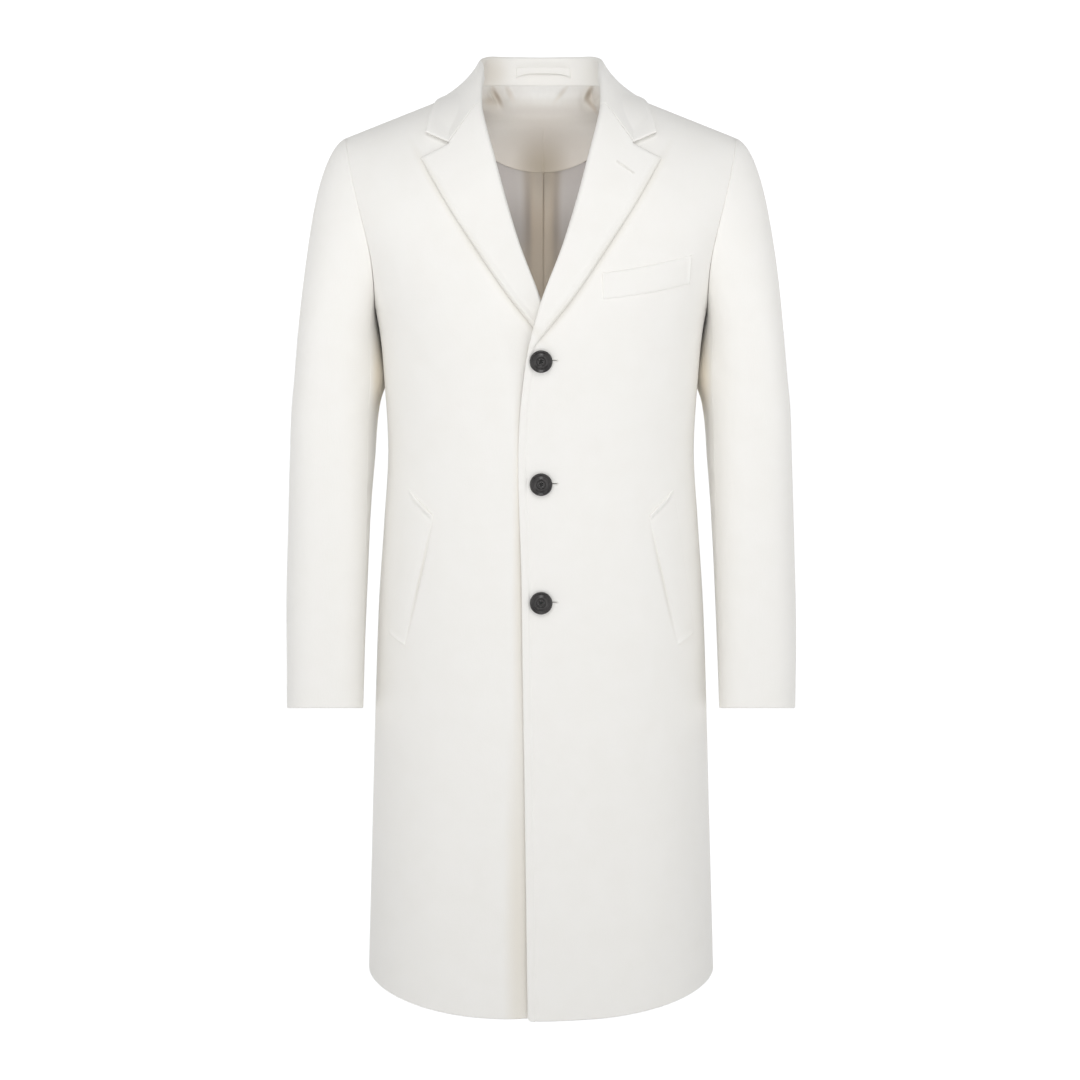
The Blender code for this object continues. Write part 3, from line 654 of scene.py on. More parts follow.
def fold_frame(way):
    """Fold of the collar: centre and radius of its roll, the leaf's normal and the way over the roll.

    The last two are the turns where the roll ends and where the stand meets the fall.
    """
    zero = np.zeros_like(way)
    step = 0.004
    point = leaf_surface(zero, way)
    down = leaf_surface(zero + 0.02, way) - point
    along = leaf_surface(zero, np.minimum(way + step, 1)) - leaf_surface(zero, np.maximum(way - step, -1))
    out = unit(np.cross(along, down))
    middle = len(way) // 2
    if out[middle, 1] < 0:
        out = -out
    over = unit(np.cross(out, along))
    over = over * np.where(np.sum(over * down, axis=-1, keepdims=True) > 0, -1.0, 1.0)
    radius = mix(FOLD_RADIUS, roll_radius(np.ones_like(way)), ease(0.55, 1.0, np.abs(way)))
    centre = point + out * (COLLAR_WALL - radius)[..., None]
    held = np.clip(way, -0.9, 0.9)
    fall = unit(neck_point(held) - fold_point(held))
    end = np.arctan2(-np.sum(fall * out, axis=-1), np.sum(fall * over, axis=-1))
    end = np.where(end < 0, end + 2 * math.pi, end)
    end = mix(end, math.pi, ease(0.78, 0.98, np.abs(way)))
    crest = np.arctan2(over[..., 2], out[..., 2]) - CREST_BACK
    split = mix(crest, end, ease(*SPLIT_BLEND, np.abs(way)))
    return centre, radius, out, over, end, split


def roll_point(centre, radius, out, over, turn):
    return centre + radius[..., None] * (out * np.cos(turn)[..., None] + over * np.sin(turn)[..., None])


# Meshes

def linked(name, data):
    """A new object in the scene."""
    body = bpy.data.objects.new(name, data)
    bpy.context.scene.collection.objects.link(body)
    return body


def mesh_object(name, vertices, faces, look, side=LEFT, turned=False):
    """A smooth mesh object, mirrored for the right side."""
    vertices = np.asarray(vertices, float) * np.array([side, 1.0, 1.0])
    if (side == RIGHT) != turned:
        faces = faces[:, ::-1]
    mesh = bpy.data.meshes.new(name)
    mesh.from_pydata(vertices.tolist(), [], faces.tolist())
    mesh.shade_smooth()
    mesh.materials.append(look)
    return linked(name, mesh)


def quads(index):
    return np.stack([index[:-1, :-1], index[1:, :-1], index[1:, 1:], index[:-1, 1:]], axis=-1).reshape(-1, 4)


def shell(name, points, facing, wall, rims, look, side=LEFT, edges=None, drops=(MIDDLE_DROP,) * 4):
    """A closed thin piece on a grid of outer points, its wall on the inside and each edge rounded.

    rims gives the rounding of the first and last line across, then of the first and last line along.
    drops gives, in the same order, how far through the wall each edge's line lies.
    edges sets the points of an edge that two pieces share, by the same order.
    """
    out = grid_normals(points, facing)
    raw = np.cross(np.gradient(points, axis=0), np.gradient(points, axis=1))
    middle = (out.shape[0] // 2, out.shape[1] // 2)
    turned = np.dot(raw[middle], out[middle]) < 0
    wall = np.broadcast_to(np.asarray(wall, float), points.shape[:2])
    sink = np.zeros(points.shape[:2])
    rise = np.zeros(points.shape[:2])
    for k, radius in enumerate(rims):
        axis = k // 2
        far = run_back(points, axis) if k % 2 else run(points, axis)
        radius = np.asarray(radius, float)
        if radius.ndim:
            radius = np.expand_dims(radius, axis)
        gone = wall * (1 - np.sqrt(1 - (1 - np.minimum(far / radius, 1)) ** 2))
        sink = np.maximum(sink, gone * drops[k])
        rise = np.maximum(rise, gone * (1 - drops[k]))
    outer = points - out * sink[..., None]
    inner = points - out * (wall - rise)[..., None]
    for k, line in (edges or {}).items():
        where = [slice(None), slice(None)]
        where[k // 2] = -1 if k % 2 else 0
        known = ~np.isnan(line[:, 0])
        target = outer[tuple(where)]
        target[known] = line[known]
        outer[tuple(where)] = target
    n, m = wall.shape
    top = np.arange(n * m).reshape(n, m)
    low = top.copy()
    low[1:-1, 1:-1] = n * m + np.arange((n - 2) * (m - 2)).reshape(n - 2, m - 2)
    vertices = np.concatenate([outer.reshape(-1, 3), inner[1:-1, 1:-1].reshape(-1, 3)])
    faces = np.concatenate([quads(top), quads(low)[:, ::-1]])
    return mesh_object(name, vertices, faces, look, side, turned)


def tube(path, radius, sides, closed=False):
    """Vertices and faces of a round tube along a path."""
    path = np.asarray(path, float)
    n = len(path)
    ahead = np.roll(path, -1, axis=0) - np.roll(path, 1, axis=0)
    if not closed:
        ahead[0] = path[1] - path[0]
        ahead[-1] = path[-1] - path[-2]
    ahead = unit(ahead)
    across = unit(np.cross(ahead, np.array([0.12, 1.0, 0.07])))
    up = np.cross(across, ahead)
    turn = np.linspace(0, 2 * math.pi, sides, endpoint=False)
    radius = np.broadcast_to(np.asarray(radius, float), (n,))[:, None, None]
    ring = across[:, None] * np.cos(turn)[:, None] + up[:, None] * np.sin(turn)[:, None]
    vertices = (path[:, None] + ring * radius).reshape(-1, 3)
    index = np.arange(n * sides).reshape(n, sides)
    index = np.concatenate([index, index[:, :1]], axis=1)
    if closed:
        index = np.concatenate([index, index[:1]], axis=0)
    faces = quads(index).tolist()
    if not closed:
        faces.append(list(range(sides))[::-1])
        faces.append(list(range((n - 1) * sides, n * sides)))
    return vertices, faces


def joined(name, parts, look):
    """One object from several pieces of mesh."""
    vertices, faces = [], []
    for part_vertices, part_faces in parts:
        base = len(vertices)
        vertices += [tuple(point) for point in part_vertices]
        faces += [[base + i for i in face] for face in part_faces]
    mesh = bpy.data.meshes.new(name)
    mesh.from_pydata(vertices, [], faces)
    bm = bmesh.new()
    bm.from_mesh(mesh)
    bmesh.ops.recalc_face_normals(bm, faces=bm.faces[:])
    bm.to_mesh(mesh)
    bm.free()
    mesh.shade_smooth()
    mesh.materials.append(look)
    return linked(name, mesh)


# Creases

def crease(points, place, strokes):
    """Height of soft ridges (positive) and troughs (negative), each fading out at its ends.

    A stroke has its start, a point that bends it, its end, its height, its half width and its deepest place.
    """
    flat = points.reshape(-1, 3)
    lift = np.zeros(len(flat))
    t = np.linspace(0, 1, 17)
    for start, bend, end, height, width, peak in strokes:
        u, v = ((1 - t) ** 2 * start[i] + 2 * t * (1 - t) * bend[i] + t * t * end[i] for i in (0, 1))
        line = place(u, v)
        near = np.full(len(flat), np.inf)
        share = np.zeros(len(flat))
        for i in range(len(line) - 1):
            leg = line[i + 1] - line[i]
            s = np.clip((flat - line[i]) @ leg / max(leg @ leg, 1e-12), 0, 1)
            far = np.linalg.norm(flat - line[i] - s[:, None] * leg, axis=1)
            closer = far < near
            near = np.where(closer, far, near)
            share = np.where(closer, t[i] + s * (t[1] - t[0]), share)
        fade = np.where(share < peak, share / peak, (1 - share) / (1 - peak))
        fade = fade * fade * (3 - 2 * fade)
        q = near / width
        lift += height * fade * (np.exp(-q * q) - CREASE_RETURN * np.exp(-(q / CREASE_RETURN_WIDTH) ** 2))
    return lift.reshape(points.shape[:2])


def drift(points, kind, side):
    """Slow unevenness of a piece, with another seed on the right side."""
    height, size, seed = kind
    if side == RIGHT:
        seed += 1
    phase = np.random.default_rng(seed).uniform(0, 2 * math.pi, (5, 3))
    turn = np.random.default_rng(seed + 100).normal(0, 1, (5, 3))
    total = np.zeros(points.shape[:2])
    for k in range(5):
        way = turn[k] / np.linalg.norm(turn[k]) * 2 * math.pi / (size * (0.7 + 0.25 * k))
        total += np.sin(points @ way + phase[k, 0])
    return height * (total / 3)


# Materials

def new_material(name):
    look = bpy.data.materials.new(name)
    look.use_nodes = True
    tree = look.node_tree
    shader = tree.nodes["Principled BSDF"]
    place = tree.nodes.new("ShaderNodeTexCoord").outputs["Object"]
    return look, tree, shader, place


def noise(tree, place, scale, detail, stretch=None):
    node = tree.nodes.new("ShaderNodeTexNoise")
    node.inputs["Scale"].default_value = scale
    node.inputs["Detail"].default_value = detail
    if stretch:
        fit = tree.nodes.new("ShaderNodeMapping")
        fit.inputs["Scale"].default_value = stretch
        tree.links.new(place, fit.inputs["Vector"])
        place = fit.outputs["Vector"]
    tree.links.new(place, node.inputs["Vector"])
    return node.outputs["Fac"]


def remap(tree, value, low, high, to_low, to_high):
    node = tree.nodes.new("ShaderNodeMapRange")
    for key, number in (("From Min", low), ("From Max", high), ("To Min", to_low), ("To Max", to_high)):
        node.inputs[key].default_value = number
    tree.links.new(value, node.inputs["Value"])
    return node.outputs["Result"]


def maths(tree, operation, a, b):
    node = tree.nodes.new("ShaderNodeMath")
    node.operation = operation
    for socket, value in zip(node.inputs, (a, b)):
        if isinstance(value, (int, float)):
            socket.default_value = value
        else:
            tree.links.new(value, socket)
    return node.outputs["Value"]


def blend_colour(tree, share, a, b):
    node = tree.nodes.new("ShaderNodeMix")
    node.data_type = "RGBA"
    tree.links.new(share, node.inputs["Factor"])
    for socket, value in ((node.inputs["A"], a), (node.inputs["B"], b)):
        if isinstance(value, tuple):
            socket.default_value = (*value, 1.0)
        else:
            tree.links.new(value, socket)
    return node.outputs["Result"]


def bump(tree, shader, height, strength, distance):
    node = tree.nodes.new("ShaderNodeBump")
    node.inputs["Strength"].default_value = strength
    node.inputs["Distance"].default_value = distance
    tree.links.new(height, node.inputs["Height"])
    tree.links.new(node.outputs["Normal"], shader.inputs["Normal"])


def split_axes(tree, place):
    """X, Y and Z of a place."""
    node = tree.nodes.new("ShaderNodeSeparateXYZ")
    tree.links.new(place, node.inputs["Vector"])
    return node.outputs


def weighted(tree, a, weight_a, b, weight_b):
    """Sum of two values, each times its weight."""
    return maths(tree, "ADD", maths(tree, "MULTIPLY", a, weight_a), maths(tree, "MULTIPLY", b, weight_b))


def patch(tree, axes, x, z, half_x, half_z, lean=0.0):
    """Soft oval share: 1 in its middle, 0 at its edge; lean is the reach it gains for each step up."""
    up = maths(tree, "SUBTRACT", axes["Z"], z)
    aside = maths(tree, "SUBTRACT", axes["X"], x)
    aside = maths(tree, "SUBTRACT", aside, maths(tree, "MULTIPLY", up, lean))
    aside = maths(tree, "DIVIDE", aside, half_x)
    along = maths(tree, "DIVIDE", up, half_z)
    near = remap(tree, weighted(tree, aside, aside, along, along), 0.0, 1.0, 1.0, 0.0)
    return maths(tree, "MULTIPLY", near, near)


def patched(tree, place, colour, patches):
    """A colour with soft oval patches of other colours over it, which paint light and shade."""
    axes = split_axes(tree, place)
    for spot, shade in patches:
        colour = blend_colour(tree, patch(tree, axes, *spot), colour, shade)
    return colour


def wool_look(name, patches=()):
    """Milled wool cloth: a short nap that runs down, felted grain, faint mottling and soft oval patches of
    painted shade.
    """
    look, tree, shader, place = new_material(name)
    felt = noise(tree, place, 950.0, 3.0)
    nap = noise(tree, place, 620.0, 2.0, (1.0, 1.0, 0.22))
    cloud = noise(tree, place, 34.0, 3.0)
    bump(tree, shader, weighted(tree, felt, 0.6, nap, 0.5), 0.30, 0.0005)
    tone = remap(tree, weighted(tree, cloud, 0.7, felt, 0.3), 0.30, 0.70, 0.0, 1.0)
    colour = blend_colour(tree, tone, (0.950, 0.932, 0.893), (0.967, 0.951, 0.918))
    tree.links.new(patched(tree, place, colour, patches), shader.inputs["Base Color"])
    tree.links.new(remap(tree, nap, 0.3, 0.7, 0.86, 0.96), shader.inputs["Roughness"])
    shader.inputs["Sheen Weight"].default_value = 0.12
    shader.inputs["Sheen Roughness"].default_value = 0.45
    shader.inputs["Specular IOR Level"].default_value = 0.25
    return look


def satin_look(name, axis, bands, patches=()):
    """Lining satin: a fine diagonal weave, with painted light and shade in its colour as soft bands along
    one axis and oval patches.
    """
    look, tree, shader, place = new_material(name)
    weave = tree.nodes.new("ShaderNodeTexWave")
    weave.bands_direction = "DIAGONAL"
    weave.inputs["Scale"].default_value = 520.0
    weave.inputs["Distortion"].default_value = 1.2
    tree.links.new(place, weave.inputs["Vector"])
    slub = noise(tree, place, 240.0, 2.0, (1.0, 1.0, 0.10))
    height = maths(tree, "ADD", maths(tree, "MULTIPLY", weave.outputs["Fac"], 0.5), slub)
    bump(tree, shader, height, 0.12, 0.0002)
    low, high = bands[0][0], bands[-1][0]
    share = remap(tree, split_axes(tree, place)[axis], low, high, 0.0, 1.0)
    ramp = tree.nodes.new("ShaderNodeValToRGB")
    ramp.color_ramp.interpolation = "EASE"
    stops = ramp.color_ramp.elements
    while len(stops) < len(bands):
        stops.new(0.5)
    for stop, (at, colour) in zip(stops, bands):
        stop.position = (at - low) / (high - low)
        stop.color = (*colour, 1.0)
    tree.links.new(share, ramp.inputs["Fac"])
    colour = patched(tree, place, ramp.outputs["Color"], patches)
    tone = remap(tree, slub, 0.3, 0.7, 0.0, 0.05)
    tree.links.new(blend_colour(tree, tone, colour, (0.55, 0.50, 0.44)), shader.inputs["Base Color"])
    tree.links.new(remap(tree, slub, 0.3, 0.7, 0.42, 0.52), shader.inputs["Roughness"])
    shader.inputs["Sheen Weight"].default_value = 0.10
    shader.inputs["Anisotropic"].default_value = 0.35
    return look


def horn_look():
    """Dark horn: brown-black with fine turning marks and cloudy streaks."""
    look, tree, shader, place = new_material("horn")
    streak = noise(tree, place, 260.0, 4.0, (1.0, 1.0, 0.35))
    marks = noise(tree, place, 2600.0, 2.0)
    tone = remap(tree, streak, 0.35, 0.68, 0.0, 1.0)
    colour = blend_colour(tree, tone, (0.022, 0.020, 0.020), (0.052, 0.048, 0.047))
    tree.links.new(colour, shader.inputs["Base Color"])
    tree.links.new(remap(tree, marks, 0.3, 0.7, 0.20, 0.28), shader.inputs["Roughness"])
    bump(tree, shader, marks, 0.12, 0.0001)
    return look


def thread_look(name, dark, pale):
    """Twisted sewing thread."""
    look, tree, shader, place = new_material(name)
    twist = noise(tree, place, 3200.0, 2.0)
    tree.links.new(blend_colour(tree, twist, dark, pale), shader.inputs["Base Color"])
    bump(tree, shader, twist, 0.5, 0.0002)
    shader.inputs["Roughness"].default_value = 0.75
    return look


def both_sides(patches):
    """Patches on the left, and the same ones mirrored on the right."""
    mirrored = [((-x, z, half_x, half_z, -lean), shade) for (x, z, half_x, half_z, lean), shade in patches]
    return list(patches) + mirrored


# Soft patches of painted shade and painted light: reach, height, half width, half height and lean, then the
# colour
# Painted shade beside the lapels' free edges, where they stand off the front
LAPEL_EDGE_SHADE = (0.905, 0.880, 0.825)
FRONT_PATCHES = both_sides((
    ((0.0245, -0.245, 0.0105, 0.060, 0.80), LAPEL_EDGE_SHADE),
    ((0.0740, -0.1755, 0.0105, 0.060, 0.69), LAPEL_EDGE_SHADE),
    ((0.1175, -0.108, 0.0100, 0.060, 0.60), LAPEL_EDGE_SHADE),
    # Painted shade along the inner long edge of each pocket welt
    ((0.1380, -0.555, 0.0034, 0.090, -0.2253), (0.850, 0.825, 0.775)),
))
# Painted shade on the right front beside the left front's edge, where it goes under
LAP_PATCHES = [
    ((-0.0245, -0.560, 0.0100, 0.300), (0.915, 0.880, 0.815)),
    ((-0.0255, -0.960, 0.0210, 0.320), (0.885, 0.845, 0.770)),
]
# Warm painted shade on the sleeves under the arms, in the gap against the body
UNDERARM_PATCHES = both_sides((
    ((0.1860, -0.335, 0.0110, 0.080, 0.0), (0.94, 0.87, 0.75)),
))
# Painted shade at the ends of the stand, darker at the wearer's right
STAND_PATCHES = (
    ((-0.0600, 0.014, 0.030, 0.036), (0.845, 0.80, 0.73)),
    ((0.0640, 0.012, 0.022, 0.034), (0.935, 0.915, 0.865)),
)
# On the yoke: painted light at the top by the neck, and painted shade lower in the middle, at the sides and
# along the puckers
YOKE_PATCHES = (
    ((0.003, -0.002, 0.056, 0.026), (0.90, 0.89, 0.865)),
    ((0.002, -0.068, 0.060, 0.044), (0.59, 0.54, 0.48)),
    ((0.001, -0.098, 0.042, 0.042), (0.43, 0.37, 0.29)),
    ((0.0580, -0.016, 0.016, 0.026), (0.74, 0.69, 0.62)),
    ((-0.0550, -0.017, 0.018, 0.028), (0.73, 0.68, 0.61)),
    ((0.0550, -0.009, 0.0052, 0.014, 0.42), (0.53, 0.465, 0.385)),
    ((0.0585, -0.023, 0.0052, 0.014, -0.70), (0.57, 0.50, 0.42)),
    ((-0.0505, -0.013, 0.0052, 0.018, -0.45), (0.56, 0.49, 0.41)),
    ((-0.0580, -0.018, 0.0130, 0.007, 0.0), (0.66, 0.60, 0.52)),
    ((-0.0360, -0.010, 0.0060, 0.015, -0.40), (0.77, 0.72, 0.655)),
    ((0.0225, -0.011, 0.0050, 0.015, 0.75), (0.78, 0.74, 0.68)),
)
# On the lining: painted shade just below the yoke's middle, and painted light further down
LINING_PATCHES = (
    ((0.001, -0.100, 0.030, 0.070), (0.34, 0.29, 0.23)),
    ((0.001, -0.270, 0.070, 0.110), (0.82, 0.72, 0.59)),
)

# Colour bands of the satins, which paint light and shade: height on the yoke and reach on the lining, then
# the colour
# On the yoke, down from the neck: pale with painted light near the neck, a band of painted shade just below,
# and painted shade again towards the lining
YOKE_BANDS = (
    (-0.105, (0.72, 0.66, 0.59)), (-0.075, (0.78, 0.73, 0.67)), (-0.050, (0.81, 0.77, 0.715)),
    (-0.040, (0.75, 0.71, 0.655)), (-0.030, (0.68, 0.64, 0.59)), (-0.0185, (0.775, 0.745, 0.695)),
    (-0.0105, (0.865, 0.84, 0.80)), (0.0, (0.88, 0.86, 0.82)),
)
# Across the lining: painted shade in the folds beside the pleat, a tan band over the pleat, and paler grey
# towards the sides
LINING_BANDS = (
    (-0.05, (0.55, 0.51, 0.49)), (-0.026, (0.50, 0.465, 0.44)), (-0.015, (0.41, 0.36, 0.315)),
    (-0.009, (0.53, 0.45, 0.36)), (0.011, (0.53, 0.45, 0.36)), (0.018, (0.41, 0.36, 0.315)),
    (0.027, (0.50, 0.465, 0.44)), (0.05, (0.55, 0.51, 0.49)),
)

wool = wool_look("wool")
front_wool = {
    LEFT: wool_look("left_front_wool", FRONT_PATCHES),
    RIGHT: wool_look("right_front_wool", FRONT_PATCHES + LAP_PATCHES),
}
sleeve_wool = wool_look("sleeve_wool", UNDERARM_PATCHES)
stand_wool = wool_look("stand_wool", STAND_PATCHES)
yoke_satin = satin_look("yoke_satin", "Z", YOKE_BANDS, YOKE_PATCHES)
lining_satin = satin_look("lining_satin", "X", LINING_BANDS, LINING_PATCHES)
horn = horn_look()
dark_thread = thread_look("dark_thread", (0.006, 0.006, 0.006), (0.022, 0.021, 0.020))
pale_thread = thread_look("pale_thread", (0.90, 0.885, 0.845), (0.955, 0.94, 0.905))
# The front buttonholes' slits are painted shade: a dark sheet where the cut opens
slit_shade = thread_look("slit_shade", (0.10, 0.10, 0.085), (0.17, 0.165, 0.15))
slit_pale = thread_look("slit_pale", (0.86, 0.84, 0.79), (0.92, 0.905, 0.865))


def keep(piece, node=None):
    """Sets a piece on the frame."""
    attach(piece, "root")
    if node:
        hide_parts(node)


def sewn(name, points, facing, wall, rims, look, slot="wool", **more):
    """A thin cloth piece in place of the node of its own name."""
    keep(shell(name, points, facing, wall, rims, look, **more), name)


# Fronts and backs

# Grid lines of a body panel: skirt, armhole and shoulder rows, then columns
SKIRT_ROWS, ARM_ROWS, SHOULDER_ROWS = 150, 52, 24
FRONT_COLUMNS = 78
BACK_COLUMNS = 66

# How far from its edges a panel takes on its full creases and its plain wall
SEAM_HOLD = 0.020
STRIP_BLEND = (0.004, 0.030)
EDGE_BLEND = (0.006, 0.012)

# Half of the ramp where the turned-up hem ends
HEM_BLEND = 0.002

# Rolled strip along the left front: width and rise well below the break and at it, each with the heights
# between which it changes, where the strip ends, its slope, and the groove's depth, distance and half width
STRIP_WIDTH = (0.0087, 0.0036)
STRIP_WIDTH_Z = (-0.322, -0.2895)
STRIP_RISE = (0.0008, 0.0012)
STRIP_RISE_Z = (-0.330, -0.292)
STRIP_END_Z = (-0.288, -0.282)
STRIP_SLOPE = (-0.0022, 0.0016)
STRIP_GROOVE = (0.0005, 0.0012, 0.0014)


def body_rows():
    """Heights of a body panel's rows, close together at the hem and at the shoulder seam."""
    skirt = HEM_Z + graded(UNDERARM_Z - HEM_Z, SKIRT_ROWS, RIM_STEPS, JOIN_STEPS)[:, 0]
    arm = np.linspace(UNDERARM_Z, SHOULDER_TIP_Z, ARM_ROWS)[1:]
    shoulder = SHOULDER_TIP_Z + graded(-SHOULDER_TIP_Z, SHOULDER_ROWS, JOIN_STEPS, SEAM_STEPS)[1:, 0]
    return np.concatenate([skirt, arm, shoulder])


def armhole_edge(rows, ahead):
    """The side edge of a body panel: the shared groove along the armhole, its own edge elsewhere."""
    angle = np.arccos(np.clip((ARMHOLE_MIDDLE_Z - rows) / ARMHOLE_HALF_HEIGHT, -1, 1))
    line = armhole_rim(angle if ahead else 2 * math.pi - angle)
    line[(rows <= UNDERARM_Z) | (rows >= SHOULDER_TIP_Z)] = np.nan
    return line


def hem_wall(up):
    """Wall at a distance up from the hem or cuff, thicker where the cloth is turned up."""
    return mix(HEM_WALL, WALL, ease(HEM_TURN - HEM_BLEND, HEM_TURN + HEM_BLEND, up))


# Strokes on the fronts and backs as reach and height; the last one of each front is the pocket's mouth
POCKET_MOUTH = ((0.1215, -0.4790), (0.1370, -0.5500), (0.1560, -0.6320), -0.0019, 0.0030, 0.40)
FRONT_CREASES = {
    LEFT: (
        ((0.150, -0.285), (0.120, -0.320), (0.095, -0.330), -0.0010, 0.013, 0.30),
        ((0.168, -0.330), (0.140, -0.350), (0.118, -0.352), -0.0007, 0.010, 0.35),
        ((0.150, -0.980), (0.140, -0.850), (0.128, -0.700), 0.0016, 0.034, 0.30),
        ((0.075, -1.040), (0.078, -0.900), (0.070, -0.740), -0.0013, 0.030, 0.25),
        ((0.110, -1.030), (0.112, -0.930), (0.104, -0.820), 0.0009, 0.024, 0.25),
        ((0.160, -0.200), (0.150, -0.225), (0.135, -0.240), -0.0006, 0.011, 0.30),
        POCKET_MOUTH,
    ),
    RIGHT: (
        ((0.152, -0.290), (0.125, -0.318), (0.102, -0.334), -0.0011, 0.012, 0.35),
        ((0.165, -0.340), (0.138, -0.358), (0.120, -0.356), -0.0006, 0.010, 0.30),
        ((0.148, -1.000), (0.136, -0.860), (0.120, -0.690), 0.0014, 0.036, 0.35),
        ((0.086, -1.035), (0.088, -0.910), (0.078, -0.770), -0.0012, 0.028, 0.30),
        ((0.158, -0.196), (0.150, -0.222), (0.140, -0.236), -0.0006, 0.012, 0.35),
        POCKET_MOUTH,
    ),
}
BACK_CREASES = {
    LEFT: (
        ((0.172, -0.215), (0.140, -0.275), (0.105, -0.320), -0.0036, 0.013, 0.35),
        ((0.176, -0.260), (0.150, -0.320), (0.120, -0.360), -0.0025, 0.011, 0.40),
        ((0.150, -0.150), (0.142, -0.205), (0.128, -0.250), 0.0029, 0.017, 0.45),
        ((0.030, -0.405), (0.080, -0.418), (0.135, -0.398), -0.0023, 0.010, 0.50),
        ((0.040, -0.437), (0.085, -0.448), (0.120, -0.440), -0.0016, 0.009, 0.45),
        ((0.070, -1.020), (0.066, -0.850), (0.058, -0.640), 0.0043, 0.032, 0.30),
        ((0.125, -1.025), (0.120, -0.880), (0.110, -0.700), -0.0040, 0.030, 0.28),
        ((0.165, -1.010), (0.160, -0.860), (0.150, -0.720), 0.0029, 0.026, 0.35),
    ),
    RIGHT: (
        ((0.170, -0.205), (0.138, -0.268), (0.100, -0.305), -0.0032, 0.014, 0.40),
        ((0.175, -0.250), (0.152, -0.308), (0.126, -0.352), -0.0027, 0.010, 0.35),
        ((0.148, -0.160), (0.138, -0.215), (0.122, -0.262), 0.0025, 0.016, 0.40),
        ((0.026, -0.412), (0.075, -0.426), (0.125, -0.404), -0.0022, 0.011, 0.55),
        ((0.060, -0.446), (0.095, -0.455), (0.130, -0.444), -0.0014, 0.008, 0.40),
        ((0.062, -1.025), (0.060, -0.870), (0.052, -0.680), 0.0040, 0.034, 0.28),
        ((0.118, -1.028), (0.116, -0.900), (0.108, -0.730), -0.0043, 0.028, 0.32),
        ((0.160, -1.000), (0.158, -0.880), (0.150, -0.760), 0.0023, 0.024, 0.30),
    ),
}


def front_strip(z, far):
    """Height of the rolled strip along the left front's edge, and of the groove beside it."""
    width = mix(*STRIP_WIDTH, ease(*STRIP_WIDTH_Z, z))
    rise = mix(*STRIP_RISE, ease(*STRIP_RISE_Z, z))
    strip = rise * (1 - ease(*STRIP_SLOPE, far - width))
    deep, beyond, half = STRIP_GROOVE
    groove = deep * bell(far, width + beyond, half)
    return (strip - groove) * (1 - ease(*STRIP_END_Z, z))


def round_corner(points, radius):
    """Rounds the corner of a panel between its last line across and its first line along."""
    u = np.clip(1 - run_back(points, 0) / radius, 0, 1)
    v = np.clip(1 - run(points, 1) / radius, 0, 1)
    inward = unit(points[-6:-5] - points[-1:])
    upward = unit(points[:, 5:6] - points[:, :1])
    du = u - u * np.sqrt(1 - v * v / 2)
    dv = v - v * np.sqrt(1 - u * u / 2)
    return points + inward * (du * radius)[..., None] + upward * (dv * radius)[..., None]


def front_piece(side, word):
    """Front with its creases and its turned-up hem; the left one has the rolled strip along its edge."""
    rows = body_rows()
    surface = front_surface(side)
    shares, heights = even_shares(surface, rows, FRONT_COLUMNS, SEAM_STEPS, FRONT_STEPS)
    points = surface(shares, heights)
    lift = crease(points, lambda x, z: front_point(x, z, side), FRONT_CREASES[side])
    lift = lift + drift(points, FRONT_DRIFT, side)
    far = run_back(points, 0)
    if side == LEFT:
        lift = lift * ease(*STRIP_BLEND, far) + front_strip(points[..., 2], far)
    points = raised(points, AHEAD, lift * ease(0.0, SEAM_HOLD, run(points, 0)))
    points = round_corner(points, CORNER_ROUND)
    wall = hem_wall(run(points, 1))
    if side == LEFT:
        edge = mix(EDGE_WALL, WALL, ease(*EDGE_BLEND, far))
        wall = np.maximum(wall, np.where(heights < LAPEL_BREAK_Z, edge, WALL))
    rims = (SEAM_ROUND, EDGE_ROUND, HEM_ROUND, SEAM_ROUND)
    seams = {0: armhole_edge(rows, True)}
    sewn(f"front_{word}", points, AHEAD, wall, rims, front_wool[side], side=side, edges=seams)


def back_lift(points, side):
    """Creases and unevenness of a back, which its lining follows."""
    return crease(points, back_point, BACK_CREASES[side]) + drift(points, BACK_DRIFT, side)


def back_piece(side, word):
    """Half of the back, with its creases and its turned-up hem."""
    rows = body_rows()
    surface = back_surface(np.zeros_like)
    points = surface(*even_shares(surface, rows, BACK_COLUMNS, SEAM_STEPS, SEAM_STEPS))
    hold = ease(0.0, SEAM_HOLD, run(points, 0)) * ease(0.0, SEAM_HOLD, run_back(points, 0))
    points = raised(points, BEHIND, back_lift(points, side) * hold)
    rims = (SEAM_ROUND, SEAM_ROUND, HEM_ROUND, SEAM_ROUND)
    seams = {0: armhole_edge(rows, False)}
    sewn(f"back_{word}", points, BEHIND, hem_wall(run(points, 1)), rims, wool, side=side, edges=seams)


# Sleeves

# Width and columns of each sleeve piece, and the rows of both
TOP_SLEEVE_GRID = (0.26, 78)
UNDER_SLEEVE_GRID = (0.10, 36)
SLEEVE_ROWS = 138
SLEEVE_RIMS = (0.0016, 0.0019, SEAM_ROUND, SEAM_ROUND)
CAP_HOLD = 0.025
SLEEVE_SEAM_HOLD = 0.012

